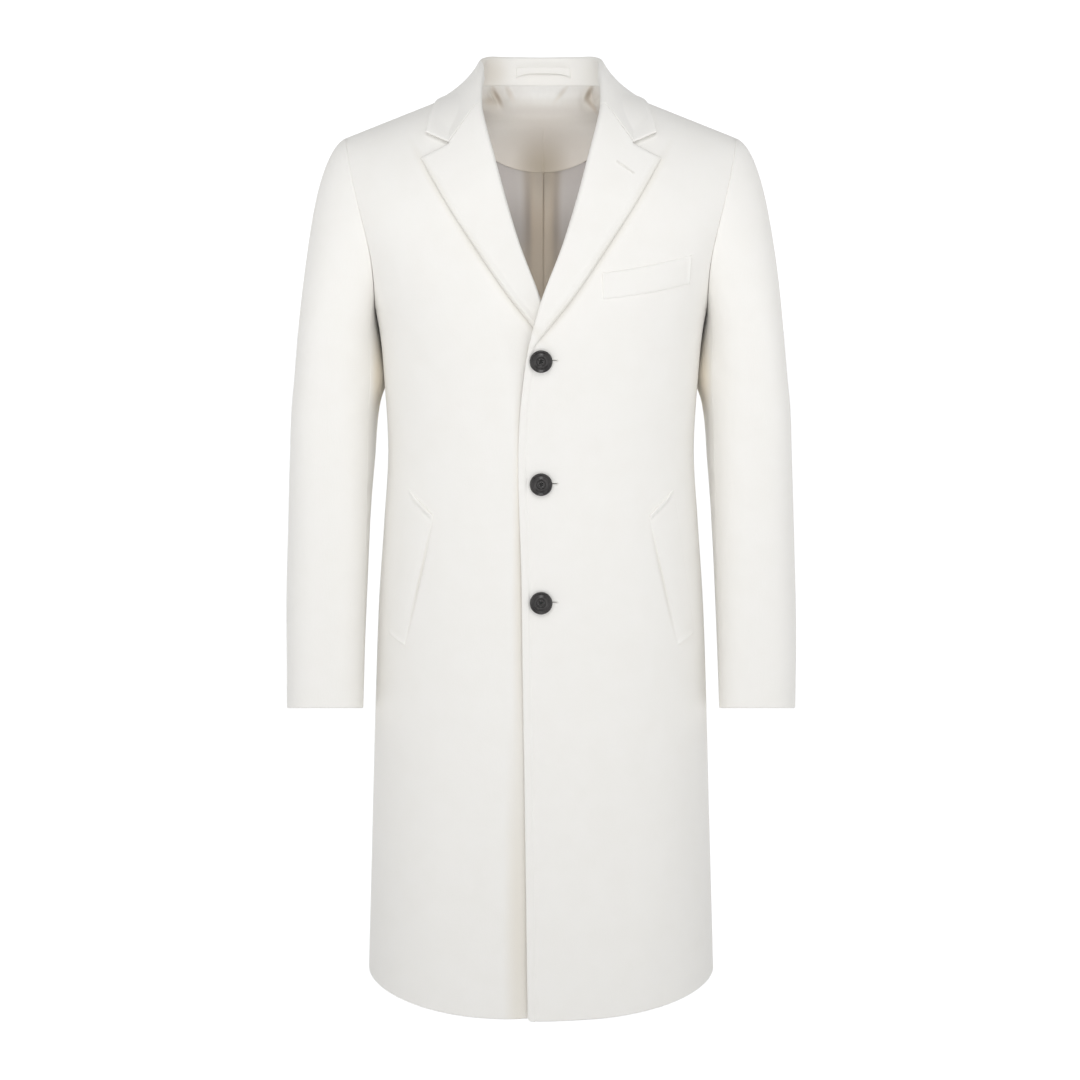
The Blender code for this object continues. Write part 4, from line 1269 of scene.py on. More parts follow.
# Strokes as angle in degrees and share down the sleeve
SLEEVE_CREASES = {
    LEFT: (
        ((60, 0.60), (110, 0.63), (165, 0.62), -0.0009, 0.011, 0.30),
        ((50, 0.66), (85, 0.69), (130, 0.70), -0.0008, 0.009, 0.35),
        ((30, 0.42), (55, 0.47), (85, 0.50), -0.0012, 0.011, 0.30),
        ((290, 0.46), (250, 0.52), (215, 0.54), -0.0016, 0.012, 0.35),
        ((300, 0.60), (262, 0.63), (225, 0.62), -0.0015, 0.011, 0.40),
        ((295, 0.68), (265, 0.71), (238, 0.73), -0.0012, 0.010, 0.35),
        ((150, 0.20), (155, 0.32), (160, 0.44), 0.0008, 0.022, 0.40),
        ((215, 0.22), (222, 0.34), (230, 0.44), -0.0013, 0.016, 0.45),
        ((350, 0.62), (375, 0.64), (400, 0.62), -0.0018, 0.010, 0.50),
        ((345, 0.67), (372, 0.70), (398, 0.69), -0.0013, 0.009, 0.45),
    ),
    RIGHT: (
        ((58, 0.61), (105, 0.65), (158, 0.63), -0.0009, 0.012, 0.35),
        ((52, 0.68), (90, 0.70), (126, 0.72), -0.0007, 0.009, 0.30),
        ((32, 0.43), (60, 0.48), (88, 0.52), -0.0011, 0.012, 0.35),
        ((292, 0.47), (255, 0.54), (220, 0.55), -0.0017, 0.013, 0.30),
        ((298, 0.61), (258, 0.65), (228, 0.63), -0.0014, 0.011, 0.45),
        ((296, 0.70), (268, 0.73), (242, 0.74), -0.0012, 0.009, 0.40),
        ((148, 0.21), (152, 0.33), (158, 0.46), 0.0008, 0.023, 0.45),
        ((218, 0.23), (224, 0.36), (232, 0.47), -0.0012, 0.015, 0.40),
        ((352, 0.63), (378, 0.66), (402, 0.64), -0.0016, 0.011, 0.45),
        ((346, 0.69), (374, 0.71), (400, 0.71), -0.0013, 0.009, 0.50),
    ),
}


def sleeve_piece(top, side, word):
    """Top or under sleeve, from the armhole to the cuff."""
    across = line_shares(*(TOP_SLEEVE_GRID if top else UNDER_SLEEVE_GRID), SEAM_STEPS, SEAM_STEPS)

    def surface(share, column_share):
        return sleeve_point(sleeve_angle(top, column_share, share), share)

    points = surface(*even_shares(surface, across, SLEEVE_ROWS, SEAM_STEPS, RIM_STEPS))
    facing = np.array([1.0 if top else -1.0, 0.0, 0.0])
    lift = crease(points, lambda a, s: sleeve_point(np.radians(a), s), SLEEVE_CREASES[side])
    lift = lift + drift(points, SLEEVE_DRIFT, side)
    hold = ease(0.0, CAP_HOLD, run(points, 0))
    for far in (run(points, 1), run_back(points, 1)):
        hold = hold * ease(0.0, SLEEVE_SEAM_HOLD, far)
    points = raised(points, facing, lift * hold)
    wall = hem_wall(run_back(points, 0))
    seams = {0: armhole_rim(sleeve_angle(top, across, np.zeros_like(across)))}
    name = f"{'top' if top else 'under'}_sleeve_{word}"
    sewn(name, points, facing, wall, SLEEVE_RIMS, sleeve_wool, side=side, edges=seams)


# Lapels and collar

# Grids: about how large each part is, and its lines, rows along the roll and columns across it
LAPEL_LENGTH = 0.2781
LAPEL_WIDTH = 0.10
LAPEL_ROWS, LAPEL_COLUMNS, FACING_COLUMNS, ROLL_COLUMNS = 104, 46, 8, 15
COLLAR_LENGTH = 0.44
COLLAR_WIDTH = 0.075
COLLAR_ROWS, COLLAR_COLUMNS, FOLD_COLUMNS, TUCK_COLUMNS = 214, 42, 17, 9
STAND_WIDTH = 0.03
STAND_ROLL_WIDTH = 0.006
STAND_ROWS, STAND_COLUMNS, STAND_ROLL_COLUMNS = 181, 16, 14
FOLD_STEPS = np.array([0.0, 0.0009, 0.00225])
STAND_JOIN = np.array([0.0, 0.05])

# Swelling along a turned edge, where the seam's turnings lie inside: height, distance and half width, and
# the share of it that the collar has
EDGE_BEAD = ((0.0006, 0.0030, 0.0030), (-0.0003, 0.0088, 0.0026))
COLLAR_BEAD = 0.7

# Edges of the lapel and collar, and the stand, which sinks under the fall and stops short of the roll's end
LAPEL_FOOT_ROUND = 0.0012
COLLAR_ROUND = 0.0026
STAND_WALL = 0.0018
STAND_SINK = 0.0009
STAND_STOP = 0.25
STAND_RIMS = (0.0004, 0.0001, SEAM_ROUND, SEAM_ROUND)


def lapel_piece(side, word):
    """Lapel: its facing inside the front, the roll, then the face out to the free edge."""
    rows = mix(LAPEL_START, 1.0, line_shares(LAPEL_LENGTH, LAPEL_ROWS, RIM_STEPS, SEAM_STEPS))
    flat = line_shares(LAPEL_WIDTH, LAPEL_COLUMNS, JOIN_STEPS, RIM_STEPS)
    base, out, over = roll_frame(rows, side)
    radius = roll_radius(rows)
    centre = base + out * (lapel_height(np.zeros_like(rows), rows) - radius)[..., None]
    lines = []
    for reach in np.linspace(FACING_REACH, 0.0, FACING_COLUMNS)[:-1]:
        x, _, z = (base - over * reach).T
        lines.append(front_point(x, z, side) - front_normal(x, z, side) * (WALL + ROLL_SPACE))
    for turn in np.linspace(math.pi, 0.0, ROLL_COLUMNS)[:-1]:
        lines.append(roll_point(centre, radius, out, over, np.full_like(radius, turn)))
    place = np.concatenate([np.zeros(len(lines)), flat])[:, None]
    for across in flat:
        a = np.full_like(rows, across)
        x, z = lapel_place(a, rows)
        lines.append(front_point(x, z, side) + front_normal(x, z, side) * lapel_height(a, rows)[:, None])
    points = np.stack(lines)
    full = np.minimum(LAPEL_WALL, lapel_height(place, rows[None]) - ROLL_SPACE)
    wall = mix(np.minimum(FOLD_WALL, full), full, ease(0.02, 0.20, place))
    bead = swell(run_back(points, 0), EDGE_BEAD) * ease(0.02, 0.12, rows) * (1 - ease(0.95, 1.0, rows))
    points = raised(points, AHEAD, bead)
    gorge = np.where(place[:, 0] < NOTCH_SHARE, GORGE_ROUND, SOFT_ROUND)
    rims = (HIDDEN_ROUND, SOFT_ROUND, LAPEL_FOOT_ROUND, gorge)
    drops = (MIDDLE_DROP, FREE_DROP, MIDDLE_DROP, GORGE_DROP)
    sewn(f"lapel_{word}", points, AHEAD, wall, rims, front_wool[side], side=side, drops=drops)


def collar_piece():
    """Fall of the collar: a strip under the stand's top edge, the roll, then the leaf."""
    way = 2 * line_shares(COLLAR_LENGTH, COLLAR_ROWS, SEAM_STEPS, SEAM_STEPS) - 1.0
    leaf = line_shares(COLLAR_WIDTH, COLLAR_COLUMNS, FOLD_STEPS, RIM_STEPS)
    centre, radius, out, over, end, split = fold_frame(way)
    tip = np.cos(end)[:, None] * over - np.sin(end)[:, None] * out
    foot = roll_point(centre, radius, out, over, end)
    reach = FOLD_INSIDE * (1 - 0.4 * ease(0.7, 1.0, np.abs(way)))
    ends = ease(*SPLIT_BLEND, np.abs(way))[:, None]
    lines = []
    for share in np.linspace(1.0, 0.0, TUCK_COLUMNS)[:-1]:
        sunk = radius - FOLD_SINK * ease(0.05, 0.60, share)
        under = roll_point(centre, sunk, out, over, split + FOLD_UNDER * share)
        lines.append(mix(under, foot + tip * (reach * share)[:, None], ends))
    for share in np.linspace(1.0, 0.0, FOLD_COLUMNS)[:-1]:
        lines.append(roll_point(centre, radius, out, over, split * share))
    place = np.concatenate([np.zeros(len(lines)), leaf])[:, None]
    inner = leaf_surface(*np.meshgrid(leaf, way, indexing="ij"))
    normal = grid_normals(inner, BEHIND)
    face = inner + normal * COLLAR_WALL
    bead = swell(run_back(face, 0), EDGE_BEAD) * COLLAR_BEAD * (1 - ease(0.93, 1.0, np.abs(way)))
    points = np.concatenate([np.stack(lines), face + normal * bead[..., None]])
    wall = mix(FOLD_WALL, COLLAR_WALL, ease(0.0, 0.12, place))
    gorge = np.where(place[:, 0] < NOTCH_SHARE, GORGE_ROUND, COLLAR_ROUND)
    rims = (HIDDEN_ROUND, COLLAR_ROUND, gorge, gorge)
    drops = (MIDDLE_DROP, FREE_DROP, GORGE_DROP, GORGE_DROP)
    sewn("collar_fall", points, BEHIND, wall, rims, wool, drops=drops)


def neck_edge(way):
    """Inner edge of the neck seam, where the stand meets the yoke."""
    low = neck_point(way)
    return low + unit(stack(-low[..., 0], -low[..., 1], np.zeros(low.shape[:-1]))) * WALL


def stand_face(up, way):
    """Straight part of the stand's face, from the neck seam (0) to the collar's roll (1)."""
    centre, radius, out, over, end, _ = fold_frame(way)
    return mix(neck_edge(way), roll_point(centre, radius, out, over, end), np.asarray(up)[..., None])


def stand_piece():
    """Stand of the collar: up from the neck seam and over the inner half of the roll."""
    way = np.linspace(-STAND_END, STAND_END, STAND_ROWS)
    centre, radius, out, over, end, split = fold_frame(way)
    sunk = radius - STAND_SINK * ease(*SPLIT_BLEND, np.abs(way))
    last = np.minimum(split, end - STAND_STOP)
    lines = []
    for up in graded(1.0, STAND_COLUMNS, SEAM_STEPS / STAND_WIDTH, STAND_JOIN)[:-1, 0]:
        lines.append(stand_face(np.full_like(way, up), way))
    for share in graded(1.0, STAND_ROLL_COLUMNS, STAND_JOIN, SEAM_STEPS[:5] / STAND_ROLL_WIDTH)[:, 0]:
        lines.append(roll_point(centre, sunk, out, over, mix(end, last, share)))
    drops = (0.2, 0.0, MIDDLE_DROP, MIDDLE_DROP)
    sewn("collar_stand", np.stack(lines), AHEAD, STAND_WALL, STAND_RIMS, stand_wool, drops=drops)


# Hanger loop on the stand

LOOP_LENGTH = LOOP_ENDS[1] - LOOP_ENDS[0]
LOOP_WIDTH = 0.009
LOOP_COLUMNS, LOOP_ROWS = 60, 8
LOOP_SPACE = 0.0004
LOOP_BOW = 0.0008
LOOP_ROUND = 0.0010
WAY_PER_REACH = FOLD[1][0] / FOLD[1][1]


def loop_piece():
    """Hanger loop: it stands off in the middle, and its ends droop."""
    along = line_shares(LOOP_LENGTH, LOOP_COLUMNS, RIM_STEPS, RIM_STEPS)
    up = line_shares(LOOP_WIDTH, LOOP_ROWS, RIM_STEPS[:6], RIM_STEPS[:6])
    way = mix(*LOOP_ENDS, along) * WAY_PER_REACH
    out = np.abs(2 * along - 1)
    droop = LOOP_DROOP * out ** 4
    share = mix(LOOP_LOW - droop, LOOP_HIGH - 0.3 * droop, up[:, None])
    points = mix(stand_face(np.zeros_like(way), way), stand_face(np.ones_like(way), way), share[..., None])
    off = LOOP_WALL + LOOP_SPACE + LOOP_BOW * (1 - out ** 3)
    points = points + AHEAD * off[:, None]
    sewn("hanger_loop", points, AHEAD, LOOP_WALL, (LOOP_ROUND,) * 4, wool)


# Inside the back

# Strokes on the yoke as reach and height
YOKE_CREASES = (
    ((0.0595, 0.001), (0.0490, -0.014), (0.0660, -0.032), -0.0072, 0.0026, 0.45),
    ((0.0520, -0.002), (0.0440, -0.015), (0.0540, -0.036), 0.0034, 0.0042, 0.40),
    ((0.0660, -0.003), (0.0585, -0.017), (0.0720, -0.030), 0.0036, 0.0034, 0.50),
    ((0.0700, -0.010), (0.0660, -0.018), (0.0620, -0.022), -0.0026, 0.0020, 0.50),
    ((-0.0600, 0.000), (-0.0520, -0.013), (-0.0465, -0.031), -0.0058, 0.0028, 0.45),
    ((-0.0530, -0.001), (-0.0430, -0.013), (-0.0390, -0.029), 0.0030, 0.0040, 0.45),
    ((-0.0670, -0.008), (-0.0600, -0.017), (-0.0520, -0.022), -0.0034, 0.0022, 0.50),
    ((-0.0400, -0.001), (-0.0360, -0.008), (-0.0325, -0.018), -0.0024, 0.0026, 0.40),
    ((0.0290, -0.001), (0.0230, -0.009), (0.0160, -0.019), -0.0026, 0.0028, 0.40),
    ((-0.0150, -0.004), (0.0020, -0.0065), (0.0200, -0.004), -0.0012, 0.0020, 0.50),
)
YOKE_WIDTH = 0.22
YOKE_HEIGHT = 0.08
YOKE_COLUMNS, YOKE_ROWS = 170, 76
YOKE_TOP_Z = 0.0006
YOKE_RIDGE_SPACE = 0.0002
YOKE_RIMS = (SEAM_ROUND, SEAM_ROUND, 0.0010, 0.0004)

# Seam down the yoke's middle: its depth, then its place, half width and own grid lines as shares across
YOKE_SEAM_DEPTH = 0.0004
YOKE_SEAM = 0.51
YOKE_SEAM_WIDTH = 0.0036
YOKE_SEAM_LINES = np.linspace(-0.010, 0.010, 13)
YOKE_SEAM_CLEAR = 0.0125

# Lining: its grid, the pleat beside the centre back seam as reaches, and the heights over which it fades
LINING_ROWS, LINING_TOP_ROWS, LINING_COLUMNS = 130, 22, 44
LINING_TOP_Z = -0.012
LINING_GAP = 0.0001
LINING_RIMS = (0.0008, 0.0005, 0.0010, 0.0008)
PLEAT_RISE = 0.0022
PLEAT_RIGHT = (-0.0150, -0.0105)
PLEAT_LEFT = (0.0125, 0.0170)
PLEAT_VALLEYS = ((0.0014, -0.0195, 0.0045), (0.0014, 0.0215, 0.0045))
LINING_SEAM = ((0.0007, LINING_SEAM_X, 0.0016),)
PLEAT_TOP_Z = (-0.11, -0.16)
PLEAT_END_Z = (-0.60, -0.20)


def yoke_piece():
    """Half-moon yoke facing: slack between the neck seam and its lower edge, with puckers and a seam."""
    across = line_shares(YOKE_WIDTH, YOKE_COLUMNS, SEAM_STEPS, SEAM_STEPS)
    clear = across[np.abs(across - YOKE_SEAM) > YOKE_SEAM_CLEAR]
    across = np.sort(np.concatenate([clear, YOKE_SEAM + YOKE_SEAM_LINES]))
    up = line_shares(YOKE_HEIGHT, YOKE_ROWS, RIM_STEPS, SEAM_STEPS)
    a, b = np.meshgrid(across, up, indexing="ij")
    turn = np.radians(mix(180 - YOKE_END_TURN, YOKE_END_TURN, a))
    low_z = YOKE_CENTRE_Z - YOKE_RADIUS * np.sin(turn)
    high_x = NECK_HALF_WIDTH * np.cos(turn) / math.cos(math.radians(YOKE_END_TURN))
    x = mix(YOKE_RADIUS * np.cos(turn), high_x, b)
    z = np.minimum(mix(low_z, YOKE_TOP_Z, b), ridge_z(x) - YOKE_RIDGE_SPACE)
    points = back_point(x, z)
    points = raised(points, BEHIND, -YOKE_INSET - YOKE_SLACK * bell(b, 0.72, 0.34))
    neck = np.arcsin(np.clip(high_x / NECK_HALF_WIDTH, -1, 1)) * RIDGE_SHARE * 2 / math.pi
    points = mix(points, neck_edge(neck), ease(0.72, 1.0, b)[..., None])
    lift = crease(points * np.array([1.0, 0.0, 1.0]), lambda x, z: stack(x, 0.0, z), YOKE_CREASES)
    seam = YOKE_SEAM_DEPTH * bell(a, YOKE_SEAM, YOKE_SEAM_WIDTH) * (1 - ease(0.40, 0.72, b))
    points = raised(points, BEHIND, seam - lift * (1 - ease(0.93, 1.0, b)))
    drops = (MIDDLE_DROP, MIDDLE_DROP, FREE_DROP, 0.25)
    sewn("yoke_facing", points, AHEAD, LINING_WALL, YOKE_RIMS, yoke_satin, "lining", drops=drops)


def lining_edge(side):
    """Inner edge of the lining: the curve under the yoke, then a seam just beside the centre back."""

    def edge(z):
        square = (YOKE_RADIUS - LINING_OVERLAP) ** 2 - (z - YOKE_CENTRE_Z) ** 2
        return np.where(square > 0, np.sqrt(np.maximum(square, 0)), side * LINING_SEAM_X)

    return edge


def lining_piece(side, word):
    """Half of the back lining, hung inside the back, with a pleat along the centre back seam."""
    foot = YOKE_CENTRE_Z - YOKE_RADIUS + LINING_OVERLAP
    hem = HEM_Z + LINING_HEM_LIFT
    skirt = hem + graded(foot - LINING_GAP - hem, LINING_ROWS, RIM_STEPS, JOIN_STEPS)[:, 0]
    rows = np.concatenate([skirt, np.linspace(foot, LINING_TOP_Z, LINING_TOP_ROWS)])
    whole = back_surface(lining_edge(side))

    def surface(share, z):
        return whole(mix(LINING_SIDE, 1.0, share), z)

    points = surface(*even_shares(surface, rows, LINING_COLUMNS, SEAM_STEPS, SEAM_STEPS))
    x = points[..., 0] * side
    z = points[..., 2]
    pleat = PLEAT_RISE * (ease(*PLEAT_RIGHT, x) - ease(*PLEAT_LEFT, x))
    lift = (pleat - swell(x, PLEAT_VALLEYS) - swell(x, LINING_SEAM)) * mix(0.45, 1.0, ease(*PLEAT_TOP_Z, z))
    lift = lift * ease(*PLEAT_END_Z, z) + drift(points, LINING_DRIFT, side)
    points = raised(points, BEHIND, back_lift(points, side) - LINING_INSET - lift)
    sewn(f"back_lining_{word}", points, AHEAD, LINING_WALL, LINING_RIMS, lining_satin, "lining", side=side)


# Welts

# Width and height of each welt, its grid, and its stitched ends as height, distance and half width
BREAST_SIZE = (0.103, 0.032)
BREAST_GRID = (60, 28)
BREAST_SAG = 0.0016
BREAST_RISE = (0.0014, 0.0006)
BREAST_END = ((0.0009, 0.0034, 0.0020), (-0.0005, 0.0078, 0.0016))
BREAST_WALL = 0.0034
BREAST_RIMS = (0.0030, 0.0026, 0.0030, 0.0036)
POCKET_SIZE = (0.030, 0.165)
POCKET_GRID = (30, 84)
POCKET_RISE = (0.0003, 0.0006)
POCKET_TOP_END = ((0.0026, 0.0030, 0.0020), (-0.0007, 0.0078, 0.0018))
POCKET_LOW_END = ((0.0016, 0.0030, 0.0020), (-0.0004, 0.0076, 0.0018))
POCKET_WALL = 0.0030
POCKET_RIMS = (0.0020, 0.0016, 0.0022, 0.0022)


def welt_grid(corners, size, grid, side):
    """Shares across and down a welt, and its points and normals on the front."""
    across, down = (line_shares(size[i], grid[i], RIM_STEPS, RIM_STEPS) for i in (0, 1))
    a, d = np.meshgrid(across, down, indexing="ij")
    (ax, az), (bx, bz), (cx, cz), (dx, dz) = corners
    x = mix(mix(ax, bx, a), mix(dx, cx, a), d)
    z = mix(mix(az, bz, a), mix(dz, cz, a), d)
    return a, d, front_point(x, z, side), front_normal(x, z, side)


def breast_piece():
    """Breast welt: sunk into the front at its edges, bowed along the top, with a stitched outer end."""
    a, d, points, out = welt_grid(BREAST_WELT, BREAST_SIZE, BREAST_GRID, LEFT)
    points = points - np.array([0.0, 0.0, BREAST_SAG]) * (4 * a * (1 - a))[..., None]
    height = BREAST_RISE[0] + BREAST_RISE[1] * (1 - d) + swell(run_back(points, 0), BREAST_END)
    points = points + out * height[..., None]
    sewn("breast_welt", points, AHEAD, BREAST_WALL, BREAST_RIMS, wool, drops=(FREE_DROP,) * 4)


def pocket_piece(side, word):
    """Slanted pocket welt: sunk into the front at its edges, with a rounded stitched ridge at each end."""
    a, _, points, out = welt_grid(POCKET_WELT, POCKET_SIZE, POCKET_GRID, side)
    ends = swell(run(points, 1), POCKET_TOP_END) + swell(run_back(points, 1), POCKET_LOW_END)
    rise = ease(0.0, 0.30, a) * (1 - ease(0.45, 1.0, a))
    held = ease(-0.05, 0.12, a) * (1 - ease(0.72, 1.0, a))
    height = POCKET_RISE[0] + POCKET_RISE[1] * rise + ends * held
    points = points + out * height[..., None]
    name = f"pocket_welt_{word}"
    look = front_wool[side]
    sewn(name, points, AHEAD, POCKET_WALL, POCKET_RIMS, look, side=side, drops=(FREE_DROP,) * 4)


# Buttons and buttonholes

# Half section of a button as radius and height, from the middle of its face round to the middle of its back
BUTTON_PROFILE = (
    (0.0000, 0.0020), (0.0036, 0.0020), (0.0043, 0.0021), (0.0048, 0.0024), (0.0052, 0.0031),
    (0.0056, 0.0035), (0.0060, 0.0036), (0.0066, 0.0034), (0.0074, 0.00295), (0.0082, 0.0025),
    (0.0088, 0.0021), (0.0092, 0.0018), (0.0095, 0.0018), (0.0099, 0.0021), (0.0105, 0.00255),
    (0.0111, 0.0030), (0.0116, 0.0033), (0.0120, 0.0033), (0.0124, 0.0029), (0.01275, 0.0021),
    (0.0126, 0.0014), (0.0121, 0.0009), (0.0112, 0.0005), (0.0095, 0.0001), (0.0070, 0.0000),
    (0.0000, 0.0000),
)
BUTTON_STEPS = 64
BUTTON_SHARP = math.radians(50)
WELD = 0.00001

# Thread: four holes round the middle, strands that arch over them to the middle, and a shank
HOLE_TURNS = [math.pi / 4 + i * math.pi / 2 for i in range(4)]
HOLE_RADIUS = 0.0010
HOLE_REACH = 0.0023
DRILL_LENGTH = 0.02
DRILL_SIDES = 20
STRANDS = (-0.00042, 0.0, 0.00042)
STRAND_RADIUS = 0.00026
STRAND_LOW = 0.0012
STRAND_ARCH = 0.0016
STRAND_CREST = 0.0009
STRAND_CROSSING = 0.00012
SHANK = (-0.0010, 0.0016)
SHANK_RADIUS = 0.0016

# Buttonholes: stitches round the ring, height over the cloth, and the slit's wall and dip towards its sides
PURL_COUNT = 132
PURL_SWELL = 0.22
PURL_RISE = 0.00022
SLIT_DIP = 0.00010
SLIT_WALL = 0.00025
SLIT_ROUND = 0.0001
SLIT_END = 0.00005
FRONT_HOLE_RISE = 0.0008
LAPEL_HOLE = ((0.0830, -0.0845), (0.1019, -0.0967))


def on_front(x, z):
    """Point and normal of the left front at a reach and a height."""
    return front_point(np.array(x), np.array(z), LEFT), front_normal(np.array(x), np.array(z), LEFT)


def on_lapel(x, z):
    """Point and normal of the left lapel's face at a reach and a height."""
    across, share = np.meshgrid(np.linspace(0.1, 0.9, 161), np.linspace(0.6, 1.0, 161), indexing="ij")
    face_x, face_z = lapel_place(across, share)
    best = np.unravel_index(np.argmin(np.hypot(face_x - x, face_z - z)), face_x.shape)
    point, out = on_front(x, z)
    return point + out * lapel_height(across[best], share[best]), out


def turned_button(name):
    """Button turned from its half section, with four holes drilled through it."""
    mesh = bpy.data.meshes.new(name)
    bm = bmesh.new()
    ring = [bm.verts.new((radius, 0.0, height)) for radius, height in BUTTON_PROFILE]
    edges = [bm.edges.new(pair) for pair in zip(ring, ring[1:])]
    bmesh.ops.spin(bm, geom=ring + edges, cent=(0, 0, 0), axis=(0, 0, 1), angle=2 * math.pi,
                   steps=BUTTON_STEPS, use_merge=True)
    bmesh.ops.remove_doubles(bm, verts=bm.verts[:], dist=WELD)
    bmesh.ops.recalc_face_normals(bm, faces=bm.faces[:])
    bm.to_mesh(mesh)
    bm.free()
    body = linked(name, mesh)
    holes = bpy.data.meshes.new("holes")
    bm = bmesh.new()
    for turn in HOLE_TURNS:
        made = bmesh.ops.create_cone(bm, cap_ends=True, segments=DRILL_SIDES, radius1=HOLE_RADIUS,
                                     radius2=HOLE_RADIUS, depth=DRILL_LENGTH)
        shift = (HOLE_REACH * math.cos(turn), HOLE_REACH * math.sin(turn), 0.0)
        bmesh.ops.translate(bm, verts=made["verts"], vec=shift)
    bm.to_mesh(holes)
    bm.free()
    drill = linked("holes", holes)
    cut = body.modifiers.new("holes", "BOOLEAN")
    cut.operation = "DIFFERENCE"
    cut.solver = "EXACT"
    cut.object = drill
    shaped = bpy.data.meshes.new_from_object(body.evaluated_get(bpy.context.evaluated_depsgraph_get()))
    body.modifiers.clear()
    body.data = shaped
    bpy.data.objects.remove(drill)
    shaped.materials.clear()
    shaped.materials.append(horn)
    shaped.shade_smooth()
    shaped.set_sharp_from_angle(angle=BUTTON_SHARP)
    return body


def button_piece(word, z):
    """A button on the left front and the thread that holds it."""
    point, out = on_front(0.0, z)
    right = unit(np.array([1.0, 0.0, 0.0]) - out * out[0])
    up = np.cross(out, right)
    seat = point + out * BUTTON_LIFT
    name = f"button_{word}"
    body = turned_button(name)
    vertices = body.data.vertices
    co = np.empty(len(vertices) * 3)
    vertices.foreach_get("co", co)
    turned = np.array([right, up, out])
    vertices.foreach_set("co", (co.reshape(-1, 3) @ turned + seat).ravel())
    body.data.update()
    keep(body, name)
    t = np.linspace(0, 1, 9)
    reach = HOLE_REACH * (1 - t)
    arch = np.sqrt(np.clip(1 - ((reach - STRAND_CREST) / STRAND_ARCH) ** 2, 0, 1)) * (t > 0.02)
    parts = []
    for i, turn in enumerate(HOLE_TURNS):
        high = STRAND_LOW + STRAND_ARCH * arch + STRAND_CROSSING * (i % 2)
        for strand in STRANDS:
            aside = strand * (0.5 + 0.5 * t)
            x = reach * math.cos(turn) - aside * math.sin(turn)
            y = reach * math.sin(turn) + aside * math.cos(turn)
            parts.append(tube(stack(x, y, high) @ turned + seat, STRAND_RADIUS, 6))
    parts.append(tube(point + out * np.linspace(*SHANK, 4)[:, None], SHANK_RADIUS, 10))
    keep(joined(f"button_thread_{word}", parts, dark_thread))


def buttonhole(name, place, start, end, half, purl, slit, dark):
    """Worked buttonhole: a ring of purl stitches round a narrow slit.

    place gives a point and normal of the cloth at a reach and a height.
    """
    start, end = np.array(start), np.array(end)
    length = np.linalg.norm(end - start)
    along = (end - start) / length
    aside = np.array([-along[1], along[0]])
    half_way = length + math.pi * half
    path = []
    for distance in np.linspace(0, 2 * half_way, PURL_COUNT, endpoint=False):
        first, last, sign = (start, end, 1.0) if distance < half_way else (end, start, -1.0)
        gone = distance % half_way
        turn = max(gone - length, 0.0) / half
        spot = first + sign * along * gone if gone < length else last + sign * along * half * math.sin(turn)
        point, out = place(*(spot + sign * aside * half * math.cos(turn)))
        path.append(point + out * PURL_RISE)
    radius = purl * (1 + PURL_SWELL * np.where(np.arange(PURL_COUNT) % 2, 1.0, -1.0))
    keep(joined(name, [tube(path, radius, 8, closed=True)], pale_thread))
    t = np.linspace(0, 1, 25)
    wide = np.sqrt(np.clip(1 - (2 * t - 1) ** 4, 0, 1)) * slit + SLIT_END
    lines = []
    for k in (-1.0, -0.5, 0.0, 0.5, 1.0):
        spots = [place(*(start + (end - start) * share + aside * k * w)) for share, w in zip(t, wide)]
        lines.append([point + out * (PURL_RISE - SLIT_DIP * abs(k)) for point, out in spots])
    gap = shell(f"{name}_slit", np.array(lines), AHEAD, SLIT_WALL, (SLIT_ROUND,) * 4, dark)
    keep(gap)


for side, word in ((LEFT, "left"), (RIGHT, "right")):
    front_piece(side, word)
    back_piece(side, word)
    sleeve_piece(True, side, word)
    sleeve_piece(False, side, word)
    lapel_piece(side, word)
    pocket_piece(side, word)
    lining_piece(side, word)
collar_piece()
stand_piece()
loop_piece()
yoke_piece()
breast_piece()
for word, z in BUTTON_HEIGHTS:
    button_piece(word, z)
    hole_ends = [(reach, z + FRONT_HOLE_RISE) for reach in HOLE_ENDS]
    buttonhole(f"buttonhole_{word}", on_front, *hole_ends,
               half=0.0010, purl=0.00052, slit=0.00055, dark=slit_shade)
buttonhole("buttonhole_lapel", on_lapel, *LAPEL_HOLE,
           half=0.0008, purl=0.00036, slit=0.00016, dark=slit_pale)

# Stage: the floor glows over these distances from the coat and behind it
FLOOR_Z = -1.47
FLOOR_HALF = 14.0
FLOOR_GLOW = 0.60
GLOW_AROUND = (1.2, 2.1)
GLOW_BEHIND = (0.15, 0.85)


def floor_look():
    """White floor that glows a little away from the coat, so that it has no edge against the background."""
    look, tree, shader, place = new_material("floor")
    grain = noise(tree, place, 40.0, 2.0)
    colour = blend_colour(tree, grain, (0.93, 0.93, 0.93), (0.95, 0.95, 0.95))
    tree.links.new(colour, shader.inputs["Base Color"])
    shader.inputs["Roughness"].default_value = 0.9
    shader.inputs["Specular IOR Level"].default_value = 0.1
    axes = split_axes(tree, place)
    far = maths(tree, "POWER", weighted(tree, axes["X"], axes["X"], axes["Y"], axes["Y"]), 0.5)
    around = remap(tree, far, *GLOW_AROUND, 0.0, FLOOR_GLOW)
    behind = remap(tree, axes["Y"], *GLOW_BEHIND, 0.0, FLOOR_GLOW)
    shader.inputs["Emission Color"].default_value = (1.0, 1.0, 1.0, 1.0)
    tree.links.new(maths(tree, "MAXIMUM", around, behind), shader.inputs["Emission Strength"])
    return look


